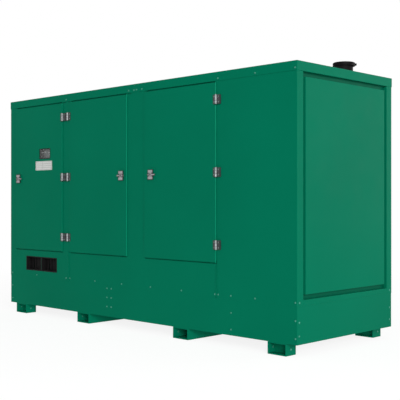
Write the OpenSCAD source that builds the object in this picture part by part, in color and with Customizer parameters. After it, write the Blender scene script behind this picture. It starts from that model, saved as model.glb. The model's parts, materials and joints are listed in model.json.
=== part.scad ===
// Sound-attenuated diesel generator set: steel base with fork pockets, boxed
// canopy with three hinged service doors a side, roof lid and exhaust stack.
// Millimetres. X runs along the length, Y from the front to the back, Z up.
// The origin is on the ground under the middle of the set.

/* [Overall] */
// Length over the roof lid
overall_l = 3190; // [3100:1:4000]
// Width over the roof lid
overall_w = 1100; // [1000:1:1400]
// Height of the roof's top above the ground
roof_top = 1849; // [1780:1:2300]

/* [Base] */
// Height of the feet, from the ground to the base rails
foot_h = 80; // [60:1:150]
// Length of a foot, and of a fork pocket, along the set
foot_l = 151; // [120:1:200]
// Width of a foot across the set
foot_w = 100; // [80:1:140]
// Depth of the plate in the mouth of each corner foot
foot_recess = 58; // [20:1:80]
// Distance from the lid's end to the middle of a corner foot
corner_foot_in = 166; // [120:1:260]
// Distance between the middles of the two fork pockets
fork_spacing = 1113; // [800:1:1300]
// Wall of the fork pockets and of the hollow feet
fork_wall = 8; // [5:1:12]
// Height of the base rails
base_h = 240; // [180:1:300]
// Thickness of the base rails
rail_t = 40; // [25:1:60]
// How far the base rails stand in from the canopy walls
base_step = 1.2; // [1:0.2:10]

/* [Canopy] */
// Thickness of the walls, sheet and sound lining together
wall_t = 40; // [30:1:60]
// How far the lid stands out from the walls, which is its skirt's thickness
lid_overhang = 3; // [2:1:15]
// Height of the lid's skirt
fascia_h = 62; // [50:1:100]
// Thickness of the lid's top
roof_t = 20; // [10:1:40]
// Height of the lower front and back panels above the base rails
sill_h = 238; // [200:1:300]
// Seam between the cable entry panel and the sill panel, from the wall's left end
sill_seam_in = 847; // [700:1:900]
// Distance from the right door to the seam of the right panel
right_seam_gap = 6; // [4:1:10]
// Gap at the seams between the lower panels
panel_gap = 4; // [2:1:6]
// Width of the corner posts on the end faces
end_post_w = 63; // [40:1:90]
// Height of the end sills above the base rails
end_sill_h = 37; // [30:1:80]
// Depth of the recess in the ends
end_recess = 25; // [15:1:40]
// Height of the raised field on the end panels
end_field_t = 23; // [5:1:24]
// Groove beside the raised field
end_groove_side = 27; // [8:1:40]
// Groove above and below the raised field
end_groove_top = 31; // [8:1:40]

/* [Doors] */
// Width of the post at the left corner
left_post_w = 86; // [50:1:100]
// Width of the left door
left_door_w = 682; // [600:1:760]
// Width of the post between the left and the middle door
door_post_w = 100; // [70:1:120]
// Width of the middle door
middle_door_w = 709; // [600:1:800]
// Width of the post between the middle and the right door
centre_post_w = 199; // [150:1:300]
// Width of the right door
right_door_w = 721; // [600:1:800]
// Gap between the doors and the lid's skirt
door_top_gap = 9; // [6:1:15]
// Gap under the doors, down to the face of the sill
door_drop = 8; // [6:1:12]
// How far the frame stands in from the walls in the gaps over and under the doors
lip_in = 12; // [5:1:20]
// How far the door skins lap over their frame
door_lap = 12; // [8:1:16]
// Clearance between a door's body and its frame
door_gap = 7; // [7:1:12]
// Thickness of a door's outer skin
skin_t = 5; // [2:1:6]
// Gap between a door skin and the frame that it laps over
skin_gap = 5; // [5:1:8]
// Depth of a door's body behind its skin
door_body_t = 39; // [25:1:50]

/* [Hinges] */
// Height of a hinge
hinge_h = 62; // [50:1:90]
// Width of one hinge leaf
leaf_w = 21; // [16:1:26]
// Thickness of a hinge leaf
leaf_t = 5; // [4:1:8]
// Diameter of the knuckles
knuckle_d = 14; // [12:1:18]
// Diameter of the hinge pins
pin_d = 6; // [5:1:8]
// Radial clearance of a pin in its moving knuckle
pin_fit = 0.05; // [0.02:0.01:0.08]
// Gap between the knuckles and the door skin
knuckle_gap = 1.5; // [1:0.5:3]
// Gap between the knuckles along the pin
knuckle_end_gap = 0.5; // [0.5:0.5:2]
// Distance from a door's edge out to the pins of its hinges
hinge_out = 14; // [10:1:16]
// Distance from a door's bottom edge to the middle of its low hinge
hinge_low_in = 120; // [80:1:200]
// Distance from a door's top edge to the middle of its high hinge
hinge_high_in = 116; // [80:1:200]

/* [Latches] */
// Width of the latch plates
latch_plate_w = 84; // [80:1:110]
// Height of the latch plates
latch_plate_h = 96; // [90:1:120]
// Thickness of the latch plates
latch_plate_t = 1.5; // [1:0.5:6]
// Height of the latches above the doors' bottom edge
latch_up = 609; // [550:1:680]
// Latch to the free edge of the left door
left_latch_in = 60; // [50:1:100]
// Latch to the free edge of the middle door
middle_latch_in = 52; // [50:1:100]
// Latch to the free edge of the right door
right_latch_in = 82; // [50:1:100]
// Width of a handle's ends
handle_w = 52; // [40:1:56]
// Height of a handle
handle_h = 70; // [60:1:76]
// Reach of a handle's ear past its end towards the door's hinges
handle_ear_in = 18; // [10:1:22]
// Reach of a handle's ear past its end towards the door's free edge
handle_ear_out = 4; // [2:1:10]
// Thickness of a handle
handle_t = 7; // [6:1:14]
// Gap between a handle and its latch plate
handle_gap = 5; // [5:1:8]
// Diameter of the handle's spindle
spindle_d = 12; // [10:1:16]
// Diameter of the lock barrel
lock_d = 20; // [16:1:24]
// How far the lock barrel stands out of the handle
lock_out = 3; // [2:1:6]

/* [Control window and plate] */
// Width of the control window
window_w = 148; // [120:1:200]
// Height of the control window
window_h = 82; // [70:1:120]
// Thickness of the window pane
pane_t = 4; // [3:1:6]
// Window's middle from the left door's hinge side
window_in = 240; // [180:1:320]
// Height of the window's middle above the door's bottom edge
window_up = 814; // [700:1:900]
// Width of the data plate
plate_w = 234; // [180:1:260]
// Height of the data plate
plate_h = 76; // [50:1:90]
// Thickness of the data plate
plate_t = 1.5; // [1:0.5:3]
// Plate's middle from the left door's hinge side
plate_in = 255; // [200:1:330]
// Height of the plate's middle above the door's bottom edge
plate_up = 714; // [600:1:725]

/* [Cable entries] */
// Width of one cable entry
entry_w = 214; // [120:1:220]
// Height of the cable entries
entry_h = 114; // [80:1:130]
// Width of the bar between the two cable entries
entry_bar = 10; // [8:1:40]
// Middle of the bar from the wall's left end
entry_in = 463; // [400:1:500]
// Height of the entries' bottom edge above the base rails
entry_up = 62; // [50:1:90]
// Thickness of the rubber edging in the entries
edging_t = 5; // [3:1:8]
// How far the edging stands back from the panel's face
edging_back = 1; // [1:1:8]

/* [Exhaust and air] */
// Diameter of the exhaust stack
stack_d = 140; // [100:1:160]
// Wall of the exhaust stack
stack_wall = 4; // [3:1:8]
// Height of the stack's cap above the roof
stack_up = 116; // [80:1:200]
// Distance from the lid's right end to the stack
stack_in = 245; // [200:1:300]
// Distance from the lid's back edge to the stack
stack_back_in = 250; // [200:1:300]
// Diameter of the rain cap
cap_d = 158; // [140:1:180]
// Height of the rain cap's rim
cap_rim_h = 16; // [10:1:30]
// Height of the rain cap's dome
cap_dome_h = 10; // [5:1:15]
// Length of the air outlet in the roof, along the set
outlet_l = 210; // [120:1:240]
// Width of the air outlet, across the set
outlet_w = 760; // [600:1:800]
// Distance from the lid's right end to the middle of the air outlet
outlet_in = 460; // [440:1:520]
// Width of the air inlet in the left end
inlet_w = 640; // [400:1:700]
// Height of the air inlet
inlet_h = 620; // [300:1:700]
// Height of the inlet's bottom edge above the end sill
inlet_up = 560; // [400:1:600]
// Distance between two blades of the inlet
blade_pitch = 62; // [50:1:80]
// Thickness of a blade
blade_t = 4; // [3:1:6]

/* [Machine inside] */
// Height of the two skid rails on the base
skid_h = 80; // [60:1:120]
// Distance between the middles of the two skid rails
skid_gauge = 560; // [500:1:640]
// Height of the crankshaft line above the base
shaft_up = 410; // [380:1:450]
// Diameter of the alternator's barrel
alternator_d = 540; // [440:1:560]
// Length of the alternator's barrel
alternator_l = 540; // [400:1:560]
// Length of the engine's block
engine_l = 840; // [700:1:880]
// Width of the engine's block
engine_w = 400; // [320:1:460]
// Height of the radiator
radiator_h = 1080; // [800:1:1150]
// Width of the radiator
radiator_w = 860; // [700:1:900]
// Thickness of the radiator
radiator_t = 120; // [80:1:160]
// Distance from the left end of the canopy to the alternator
machine_in = 690; // [680:1:720]
// Diameter of the silencer
silencer_d = 250; // [200:1:280]
// Length of the silencer
silencer_l = 820; // [600:1:900]
// Diameter of the exhaust pipe
pipe_d = 100; // [80:1:120]
// Width of the control cabinet
cabinet_w = 400; // [300:1:450]
// Height of the control cabinet
cabinet_h = 780; // [600:1:800]
// Depth of the control cabinet
cabinet_deep = 240; // [200:1:260]
// Height of the cabinet's bottom above the base
cabinet_up = 400; // [350:1:420]
// Distance from the canopy's left end to the cabinet
cabinet_in = 254; // [200:1:280]
// Gap between the cabinet and the inner face of the left door
cabinet_gap = 30; // [10:1:60]

/* [Hidden] */
$fn = 48;

green = [0.02, 0.42, 0.31];
black = [0.07, 0.07, 0.08];
steel = [0.62, 0.62, 0.63];
grey = [0.35, 0.36, 0.37];

// Levels
base_top = foot_h + base_h;
fascia_z = roof_top - fascia_h;
wall_top = roof_top - roof_t;
sill_top = base_top + sill_h + door_lap;
door_z0 = base_top + sill_h;
door_z1 = fascia_z - door_top_gap;
head_z = door_z1 - door_lap;
hinge_zs = [
    door_z0 + hinge_low_in,
    (door_z0 + hinge_low_in + door_z1 - hinge_high_in) / 2,
    door_z1 - hinge_high_in
];
latch_z = door_z0 + latch_up;
shaft_z = base_top + shaft_up;
skid_top = base_top + skid_h;

// Planes of the front, measured from the middle; the back mirrors them
wall_x = overall_l / 2 - lid_overhang;
wall_y = overall_w / 2 - lid_overhang;
base_x = wall_x - base_step;
base_y = wall_y - base_step;
skin_back_y = wall_y + skin_gap;
skin_y = skin_back_y + skin_t;
door_inner_y = skin_back_y - door_body_t;
hinge_y = skin_y + knuckle_gap + knuckle_d / 2;
leaf_y = skin_y + leaf_t;
plate_y = skin_y + latch_plate_t;
handle_y = plate_y + handle_gap;

// Doors along the wall, from the left end
left_x0 = -wall_x + left_post_w;
left_x1 = left_x0 + left_door_w;
middle_x0 = left_x1 + door_post_w;
middle_x1 = middle_x0 + middle_door_w;
right_x0 = middle_x1 + centre_post_w;
right_x1 = right_x0 + right_door_w;
seam_x = -wall_x + sill_seam_in;
right_seam_x = right_x1 + right_seam_gap;
left_hinge_x = left_x1 + hinge_out;
middle_hinge_x = middle_x0 - hinge_out;
right_hinge_x = right_x1 + hinge_out;
left_latch_x = left_x0 + left_latch_in;
middle_latch_x = middle_x1 - middle_latch_in;
right_latch_x = right_x0 + right_latch_in;

// A door's body is inset from its skin by the lap and the clearance
door_inset = door_lap + door_gap;
knuckle_len = (hinge_h - 2 * knuckle_end_gap) / 3;
leaf_in = knuckle_d / 2 + 2;

// Feet
corner_foot_x = overall_l / 2 - corner_foot_in;

// Exhaust stack and silencer
stack_x = overall_l / 2 - stack_in;
stack_y = overall_w / 2 - stack_back_in;
stack_top = roof_top + stack_up;
roof_hole_d = stack_d + 8;
silencer_z = fascia_z - silencer_d / 2 - 60;
outlet_flange_z = silencer_z + silencer_d / 2 + 20;
outlet_x = overall_l / 2 - outlet_in;

// Machine along the shaft, from the left
alternator_x0 = -wall_x + machine_in;
alternator_x1 = alternator_x0 + alternator_l;
engine_x0 = alternator_x1 + 70;
engine_x1 = engine_x0 + engine_l;
radiator_x0 = engine_x1 + 170;
cabinet_x0 = -wall_x + cabinet_in;

// A box between two opposite corners
module block(from, to) {
    translate(from) cube(to - from);
}

// Its children, and again mirrored to the back
module both_sides() {
    children();
    mirror([0, 1, 0]) children();
}

// A wall slab of the front between two X and two Z values
module front_slab(x0, x1, z0, z1) {
    block([x0, -wall_y, z0], [x1, -wall_y + wall_t, z1]);
}

// ---- Base ----

module base_side_rails() {
    color(green) both_sides()
        block([-base_x, -base_y, foot_h], [base_x, -base_y + rail_t, base_top]);
}

module base_end_rails() {
    color(green) for (side = [0, 1]) mirror([side, 0, 0])
        block([base_x - rail_t, -base_y + rail_t, foot_h], [base_x, base_y - rail_t, base_top]);
}

// The fuel tank fills the base between the rails and carries the machine
module base_tank() {
    tank_lift = 20;
    color(black)
        block([-base_x + rail_t, -base_y + rail_t, foot_h + tank_lift],
              [base_x - rail_t, base_y - rail_t, base_top]);
}

// Two open channels across the set take a fork lift's forks
module fork_pockets() {
    color(green) for (x = [-fork_spacing / 2, fork_spacing / 2])
        difference() {
            block([x - foot_l / 2, -base_y, 0], [x + foot_l / 2, base_y, foot_h]);
            block([x - foot_l / 2 + fork_wall, -base_y - 1, fork_wall],
                  [x + foot_l / 2 - fork_wall, base_y + 1, foot_h - fork_wall]);
        }
}

// Four corner feet: short tubes across the base, each with a plate set back in its mouth
module feet() {
    plate_y = -base_y + foot_recess;
    color(green) for (x = [-corner_foot_x, corner_foot_x]) both_sides() difference() {
        block([x - foot_l / 2, -base_y, 0], [x + foot_l / 2, -base_y + foot_w, foot_h]);
        for (y = [[-base_y - 1, plate_y], [plate_y + fork_wall, -base_y + foot_w + 1]])
            block([x - foot_l / 2 + fork_wall, y[0], fork_wall],
                  [x + foot_l / 2 - fork_wall, y[1], foot_h - fork_wall]);
    }
}

// ---- Canopy walls ----

// The fixed panel at the right of the doors, with its return round the corner
module right_panel() {
    front_slab(right_x1 - door_lap, wall_x, sill_top, wall_top);
    front_slab(right_seam_x, wall_x, base_top, sill_top);
    block([wall_x - wall_t, -wall_y, base_top], [wall_x, -wall_y + end_post_w, wall_top]);
}

module front_right_panel() {
    color(green) right_panel();
}

module back_right_panel() {
    color(green) mirror([0, 1, 0]) right_panel();
}

// The posts beside the doors; the one at the corner returns round it
module posts() {
    block([-wall_x, -wall_y, sill_top], [-wall_x + wall_t, -wall_y + end_post_w, wall_top]);
    front_slab(-wall_x, left_x0 + door_lap, sill_top, wall_top);
    front_slab(left_x1 - door_lap, middle_x0 + door_lap, sill_top, wall_top);
    front_slab(middle_x1 - door_lap, right_x0 + door_lap, sill_top, wall_top);
}

module front_posts() {
    color(green) posts();
}

module back_posts() {
    color(green) mirror([0, 1, 0]) posts();
}

// The rebates in the face of the sills, under the skins of the three doors
module door_drops() {
    for (x = [[left_x0, left_x1], [middle_x0, middle_x1], [right_x0, right_seam_x]])
        block([x[0], -wall_y - 1, door_z0 - door_drop], [x[1], -wall_y + lip_in, sill_top + 1]);
}

module front_sill() {
    color(green) difference() {
        front_slab(seam_x + panel_gap, right_seam_x - panel_gap, base_top, sill_top);
        door_drops();
    }
}

module back_sill() {
    color(green) mirror([0, 1, 0]) {
        difference() {
            front_slab(-wall_x, right_seam_x - panel_gap, base_top, sill_top);
            door_drops();
        }
        block([-wall_x, -wall_y, base_top], [-wall_x + wall_t, -wall_y + end_post_w, sill_top]);
    }
}

// The left edge of each of the two cable entries
function entry_x0(i) = -wall_x + entry_in + (i == 0 ? -entry_bar / 2 - entry_w : entry_bar / 2);

module cable_entry_panel() {
    z0 = base_top + entry_up;
    color(green) {
        difference() {
            front_slab(-wall_x, seam_x, base_top, sill_top);
            for (i = [0, 1])
                block([entry_x0(i), -wall_y - 1, z0],
                      [entry_x0(i) + entry_w, -wall_y + wall_t + 1, z0 + entry_h]);
            door_drops();
        }
        block([-wall_x, -wall_y, base_top], [-wall_x + wall_t, -wall_y + end_post_w, sill_top]);
    }
}

// Rubber edging lines each cable entry
module cable_entry_edging() {
    z0 = base_top + entry_up;
    y0 = -wall_y + edging_back;
    y1 = -wall_y + wall_t;
    color(black) for (i = [0, 1]) difference() {
        block([entry_x0(i), y0, z0], [entry_x0(i) + entry_w, y1, z0 + entry_h]);
        block([entry_x0(i) + edging_t, y0 - 1, z0 + edging_t],
              [entry_x0(i) + entry_w - edging_t, y1 + 1, z0 + entry_h - edging_t]);
    }
}

// The rails over the doors, between the posts and behind their faces
module top_rails() {
    color(green) both_sides()
        for (x = [[left_x0, left_x1], [middle_x0, middle_x1], [right_x0, right_x1]])
            block([x[0] + door_lap, -wall_y + lip_in, head_z],
                  [x[1] - door_lap, -wall_y + wall_t, wall_top]);
}

// A recessed end wall with a raised field, between the corner posts
module end_wall() {
    half_w = wall_y - end_post_w;
    sill_z = base_top + end_sill_h;
    face_x = wall_x - end_recess;
    block([wall_x - wall_t - end_recess, -half_w, base_top], [face_x, half_w, wall_top]);
    block([face_x, -half_w, base_top], [wall_x, half_w, sill_z]);
    block([face_x, -half_w, fascia_z], [wall_x, half_w, wall_top]);
    block([face_x, -half_w + end_groove_side, sill_z + end_groove_top],
          [face_x + end_field_t, half_w - end_groove_side, fascia_z - end_groove_top]);
}

module right_end_panel() {
    color(green) end_wall();
}

inlet_z0 = base_top + end_sill_h + inlet_up;

module left_end_panel() {
    color(green) mirror([1, 0, 0]) difference() {
        end_wall();
        block([wall_x - wall_t - end_recess - 1, -inlet_w / 2, inlet_z0],
              [wall_x + 1, inlet_w / 2, inlet_z0 + inlet_h]);
    }
}

// Sloping blades close the air inlet between two uprights
module air_inlet_louvre() {
    upright = 20;
    x0 = wall_x - wall_t - end_recess;
    x1 = wall_x - end_recess + end_field_t;
    blade_drop = 40;
    count = floor((inlet_h - blade_drop) / blade_pitch);
    color(green) mirror([1, 0, 0]) {
        for (side = [-1, 1]) translate([0, side * (inlet_w - upright) / 2, 0])
            block([x0, -upright / 2, inlet_z0], [x1, upright / 2, inlet_z0 + inlet_h]);
        for (i = [0 : count])
            translate([0, inlet_w / 2 - upright, inlet_z0 + blade_drop + i * blade_pitch])
                rotate([90, 0, 0])
                    linear_extrude(inlet_w - 2 * upright)
                        polygon([[x0, 0], [x1, -blade_drop], [x1, blade_t - blade_drop], [x0, blade_t]]);
    }
}

// ---- Roof ----

module roof_lid() {
    color(green) difference() {
        block([-overall_l / 2, -overall_w / 2, fascia_z], [overall_l / 2, overall_w / 2, roof_top]);
        block([-wall_x, -wall_y, fascia_z - 1], [wall_x, wall_y, wall_top]);
        block([outlet_x - outlet_l / 2, -outlet_w / 2, wall_top - 1],
              [outlet_x + outlet_l / 2, outlet_w / 2, roof_top + 1]);
        translate([stack_x, stack_y, wall_top - 1]) cylinder(d = roof_hole_d, h = roof_t + 2);
    }
}

// A frame with bars along the set fills the air outlet
module roof_outlet_grille() {
    frame_w = 20;
    bar_w = 5;
    bars = 23;
    bar_gap = (outlet_w - 2 * frame_w) / (bars + 1);
    color(black) {
        difference() {
            block([outlet_x - outlet_l / 2, -outlet_w / 2, wall_top],
                  [outlet_x + outlet_l / 2, outlet_w / 2, roof_top]);
            block([outlet_x - outlet_l / 2 + frame_w, -outlet_w / 2 + frame_w, wall_top - 1],
                  [outlet_x + outlet_l / 2 - frame_w, outlet_w / 2 - frame_w, roof_top + 1]);
        }
        for (i = [1 : bars])
            translate([outlet_x, -outlet_w / 2 + frame_w + i * bar_gap, (wall_top + roof_top) / 2])
                cube([outlet_l - 2 * frame_w, bar_w, roof_t], center = true);
    }
}

// A tube from the silencer's flange up through the roof
module exhaust_stack() {
    z1 = stack_top - cap_rim_h - cap_dome_h;
    color(black) translate([stack_x, stack_y, outlet_flange_z]) difference() {
        cylinder(d = stack_d, h = z1 - outlet_flange_z);
        translate([0, 0, -1]) cylinder(d = stack_d - 2 * stack_wall, h = z1 - outlet_flange_z + 2);
    }
}

// The cap sits on the stack, standing out further on the side of its hinge lug
module rain_cap() {
    cap_shift = (cap_d - stack_d) / 2 - 3;
    color(black) translate([stack_x + cap_shift * cos(45), stack_y + cap_shift * sin(45),
                            stack_top - cap_rim_h - cap_dome_h])
        rotate_extrude() polygon([[0, 0], [cap_d / 2, 0], [cap_d / 2, cap_rim_h],
            [cap_d / 2 - 6, cap_rim_h + 4], [0, cap_rim_h + cap_dome_h]]);
}

// ---- Doors ----

// A door: a skin that laps over the frame and a lined body behind it
module door(x0, x1) {
    block([x0, -skin_y, door_z0], [x1, -skin_back_y, door_z1]);
    block([x0 + door_inset, -skin_back_y, door_z0 + door_inset],
          [x1 - door_inset, -door_inner_y, door_z1 - door_inset]);
}

module left_door() {
    x = left_x1 - window_in;
    z = door_z0 + window_up;
    color(green) difference() {
        door(left_x0, left_x1);
        block([x - window_w / 2, -skin_y - 1, z - window_h / 2],
              [x + window_w / 2, -door_inner_y + 1, z + window_h / 2]);
    }
}

module middle_door() {
    color(green) door(middle_x0, middle_x1);
}

module right_door() {
    color(green) door(right_x0, right_x1);
}

module back_doors() {
    color(green) mirror([0, 1, 0]) {
        door(left_x0, left_x1);
        door(middle_x0, middle_x1);
        door(right_x0, right_x1);
    }
}

module control_window() {
    x = left_x1 - window_in;
    z = door_z0 + window_up;
    color([0.2, 0.22, 0.24, 0.5])
        block([x - window_w / 2, -skin_y, z - window_h / 2],
              [x + window_w / 2, -skin_y + pane_t, z + window_h / 2]);
}

module data_plate() {
    x = left_x1 - plate_in;
    z = door_z0 + plate_up;
    color([0.85, 0.86, 0.85])
        block([x - plate_w / 2, -skin_y - plate_t, z - plate_h / 2],
              [x + plate_w / 2, -skin_y, z + plate_h / 2]);
}

// ---- Hinges ----

// One fixed leaf with its two outer knuckles and the pin; the leaf lies towards +X
module fixed_leaf() {
    outer_z = hinge_h / 2 - knuckle_len;
    block([leaf_in, hinge_y - leaf_y, -hinge_h / 2],
          [leaf_in + leaf_w, hinge_y - wall_y, hinge_h / 2]);
    for (z = [-hinge_h / 2, outer_z]) {
        translate([0, 0, z]) cylinder(d = knuckle_d, h = knuckle_len);
        block([0, hinge_y - leaf_y, z], [leaf_in + 1, hinge_y - skin_y - 0.5, z + knuckle_len]);
    }
    translate([0, 0, -hinge_h / 2]) cylinder(d = pin_d, h = hinge_h);
}

// One moving leaf with its middle knuckle; the leaf lies towards -X
module moving_leaf() {
    half_len = knuckle_len / 2;
    difference() {
        union() {
            block([-leaf_in - leaf_w, hinge_y - leaf_y, -hinge_h / 2],
                  [-leaf_in, hinge_y - skin_y, hinge_h / 2]);
            translate([0, 0, -half_len]) cylinder(d = knuckle_d, h = knuckle_len);
            block([-leaf_in - 1, hinge_y - leaf_y, -half_len], [0, hinge_y - skin_y, half_len]);
        }
        translate([0, 0, -half_len - 1]) cylinder(d = pin_d + 2 * pin_fit, h = knuckle_len + 2);
    }
}

// Its children at each hinge of a door whose hinge pins are at x; side is 1 where
// the door lies towards -X from its hinges and -1 where it lies towards +X
module at_hinges(x, side) {
    for (z = hinge_zs) translate([x, -hinge_y, z])
        mirror([side < 0 ? 1 : 0, 0, 0]) children();
}

module frame_hinges() {
    color(steel) {
        at_hinges(left_hinge_x, 1) fixed_leaf();
        at_hinges(middle_hinge_x, -1) fixed_leaf();
        at_hinges(right_hinge_x, 1) fixed_leaf();
    }
}

module left_door_hinges() {
    color(black) at_hinges(left_hinge_x, 1) moving_leaf();
}

module middle_door_hinges() {
    color(black) at_hinges(middle_hinge_x, -1) moving_leaf();
}

module right_door_hinges() {
    color(black) at_hinges(right_hinge_x, 1) moving_leaf();
}

// The closed hinges of the back doors, each in one piece
module back_hinges() {
    color(black) mirror([0, 1, 0])
        for (door = [[left_hinge_x, 1], [middle_hinge_x, -1], [right_hinge_x, 1]])
            at_hinges(door[0], door[1]) {
                fixed_leaf();
                translate([0, 0, -hinge_h / 2]) cylinder(d = knuckle_d, h = hinge_h);
                block([-leaf_in - leaf_w, hinge_y - leaf_y, -hinge_h / 2],
                      [0, hinge_y - skin_y, hinge_h / 2]);
            }
}

// ---- Latches ----

// A plate with the bore that the handle's spindle turns in
module latch_plate(x) {
    translate([x, -skin_y, latch_z]) difference() {
        block([-latch_plate_w / 2, -latch_plate_t, -latch_plate_h / 2],
              [latch_plate_w / 2, 0, latch_plate_h / 2]);
        translate([0, 1, 0]) rotate([90, 0, 0])
            cylinder(d = spindle_d + 2 * pin_fit, h = latch_plate_t + 2);
    }
}

// A waisted handle with ears at its middle, a lock barrel and a spindle.
// The door's hinges lie towards +X where side is 1, and towards -X where it is -1.
module handle(x, side) {
    end_h = 22;
    waist_w = 34;
    ear_h = 12;
    translate([x, 0, latch_z]) rotate([90, 0, 0]) {
        translate([0, 0, handle_y]) linear_extrude(handle_t) {
            for (end = [-1, 1]) translate([0, end * (handle_h - end_h) / 2])
                square([handle_w, end_h], center = true);
            square([waist_w, handle_h - end_h], center = true);
            translate([side * (handle_ear_in - handle_ear_out) / 2, 0])
                square([handle_w + handle_ear_in + handle_ear_out, ear_h], center = true);
        }
        translate([0, 0, handle_y]) cylinder(d = lock_d, h = handle_t + lock_out);
        translate([0, 0, skin_y + 0.3]) cylinder(d = spindle_d, h = handle_y - skin_y);
    }
}

module left_latch_plate() {
    color(green) latch_plate(left_latch_x);
}

module middle_latch_plate() {
    color(green) latch_plate(middle_latch_x);
}

module right_latch_plate() {
    color(green) latch_plate(right_latch_x);
}

module left_handle() {
    color(steel) handle(left_latch_x, 1);
}

module middle_handle() {
    color(steel) handle(middle_latch_x, -1);
}

module right_handle() {
    color(steel) handle(right_latch_x, 1);
}

// The latches of the back doors, each with its handle in one piece
module back_latches() {
    color(steel) mirror([0, 1, 0])
        for (latch = [[left_latch_x, 1], [middle_latch_x, -1], [right_latch_x, 1]]) {
            handle(latch[0], latch[1]);
            latch_plate(latch[0]);
            translate([latch[0], -skin_y, latch_z]) rotate([90, 0, 0])
                cylinder(d = spindle_d + 4, h = latch_plate_t);
        }
}

// ---- Machine inside ----

module skid_rails() {
    rail_w = 60;
    color(black) for (y = [-skid_gauge / 2, skid_gauge / 2])
        block([alternator_x0, y - rail_w / 2, base_top], [engine_x1, y + rail_w / 2, skid_top]);
}

// Two feet on the skid rails under x, reaching up and in to the machine
module machine_feet(x, reach_y, top_z) {
    foot_t = 90;
    both_sides()
        block([x - foot_t / 2, -skid_gauge / 2 - 30, skid_top], [x + foot_t / 2, -reach_y, top_z]);
}

module alternator() {
    box_w = 300;
    box_l = 320;
    box_h = 210;
    color(grey) {
        translate([alternator_x0, 0, shaft_z]) rotate([0, 90, 0])
            cylinder(d = alternator_d, h = alternator_l);
        for (x = [alternator_x0 + 60, alternator_x1 - 60])
            machine_feet(x, alternator_d / 4, shaft_z - alternator_d / 4);
        block([alternator_x0 + 60, -box_w / 2, shaft_z + alternator_d / 4],
              [alternator_x0 + 60 + box_l, box_w / 2, shaft_z + alternator_d / 2 + box_h]);
    }
}

module engine() {
    sump_z = skid_top + 20;
    block_z0 = shaft_z - 150;
    block_z1 = shaft_z + 400;
    head_h = 130;
    bell_d = alternator_d;
    color(grey) {
        translate([alternator_x1, 0, shaft_z]) rotate([0, 90, 0])
            cylinder(d = bell_d, h = engine_x0 - alternator_x1 + 60);
        block([engine_x0, -engine_w / 2, block_z0], [engine_x1, engine_w / 2, block_z1]);
        block([engine_x0 + 40, -engine_w / 3, sump_z], [engine_x1 - 60, engine_w / 3, block_z0]);
        block([engine_x0 + 40, -engine_w / 3, block_z1], [engine_x1 - 60, engine_w / 3, block_z1 + head_h]);
        for (x = [engine_x0 + 120, engine_x1 - 120])
            machine_feet(x, engine_w / 2 - 1, shaft_z - 20);
        translate([engine_x1, 0, shaft_z + 150]) rotate([0, 90, 0]) cylinder(d = 160, h = 60);
        translate([engine_x0 + 260, engine_w / 2 + 90, block_z1 - 40]) rotate([0, 90, 0])
            cylinder(d = 190, h = 360);
        block([engine_x0 + 300, engine_w / 2 - 1, block_z1 - 90],
              [engine_x0 + 360, engine_w / 2 + 60, block_z1 - 30]);
    }
}

// The radiator stands on the base; its fan cowl faces the engine
module radiator() {
    cowl_d = 720;
    cowl_l = 70;
    color(black) {
        block([radiator_x0, -radiator_w / 2, base_top],
              [radiator_x0 + radiator_t, radiator_w / 2, base_top + radiator_h]);
        difference() {
            translate([radiator_x0 - cowl_l, 0, base_top + radiator_h / 2]) rotate([0, 90, 0])
                cylinder(d = cowl_d, h = cowl_l + 1);
            translate([radiator_x0 - cowl_l - 1, 0, base_top + radiator_h / 2]) rotate([0, 90, 0])
                cylinder(d = cowl_d - 20, h = cowl_l + 1);
        }
    }
}

// The silencer lies across the set under the stack, with the engine's pipe to it
module silencer() {
    head_top = shaft_z + 400 + 130;
    pipe_x = engine_x1 - 200;
    flange_t = 8;
    color(grey) {
        translate([stack_x, silencer_l / 2, silencer_z]) rotate([90, 0, 0])
            cylinder(d = silencer_d, h = silencer_l);
        translate([stack_x, stack_y, silencer_z]) cylinder(d = stack_d, h = outlet_flange_z - silencer_z);
        translate([stack_x, stack_y, outlet_flange_z - flange_t]) cylinder(d = stack_d + 40, h = flange_t);
        translate([pipe_x, 0, silencer_z]) rotate([0, 90, 0])
            cylinder(d = pipe_d, h = stack_x - pipe_x - silencer_d / 2 + 20);
        translate([pipe_x, 0, head_top]) cylinder(d = pipe_d, h = silencer_z - head_top);
        translate([pipe_x, 0, silencer_z]) sphere(d = pipe_d);
    }
}

// The cabinet stands on two legs behind the control window
module control_cabinet() {
    leg_w = 40;
    y0 = -door_inner_y + cabinet_gap;
    z0 = base_top + cabinet_up;
    color(grey) {
        block([cabinet_x0, y0, z0], [cabinet_x0 + cabinet_w, y0 + cabinet_deep, z0 + cabinet_h]);
        for (x = [cabinet_x0, cabinet_x0 + cabinet_w - leg_w])
            block([x, y0 + cabinet_deep - leg_w, base_top], [x + leg_w, y0 + cabinet_deep, z0]);
    }
}

base_side_rails();
base_end_rails();
base_tank();
fork_pockets();
feet();
front_right_panel();
front_posts();
front_sill();
cable_entry_panel();
cable_entry_edging();
top_rails();
back_right_panel();
back_posts();
back_sill();
right_end_panel();
left_end_panel();
air_inlet_louvre();
roof_lid();
roof_outlet_grille();
exhaust_stack();
rain_cap();
frame_hinges();
left_door();
left_door_hinges();
left_latch_plate();
left_handle();
control_window();
data_plate();
middle_door();
middle_door_hinges();
middle_latch_plate();
middle_handle();
right_door();
right_door_hinges();
right_latch_plate();
right_handle();
back_doors();
back_hinges();
back_latches();
engine();
alternator();
radiator();
silencer();
skid_rails();
control_cabinet();
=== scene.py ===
"""A sound-attenuated diesel generator set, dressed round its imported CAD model."""
import json
import math

import bmesh
import bpy
from mathutils import Matrix, Vector


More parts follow.
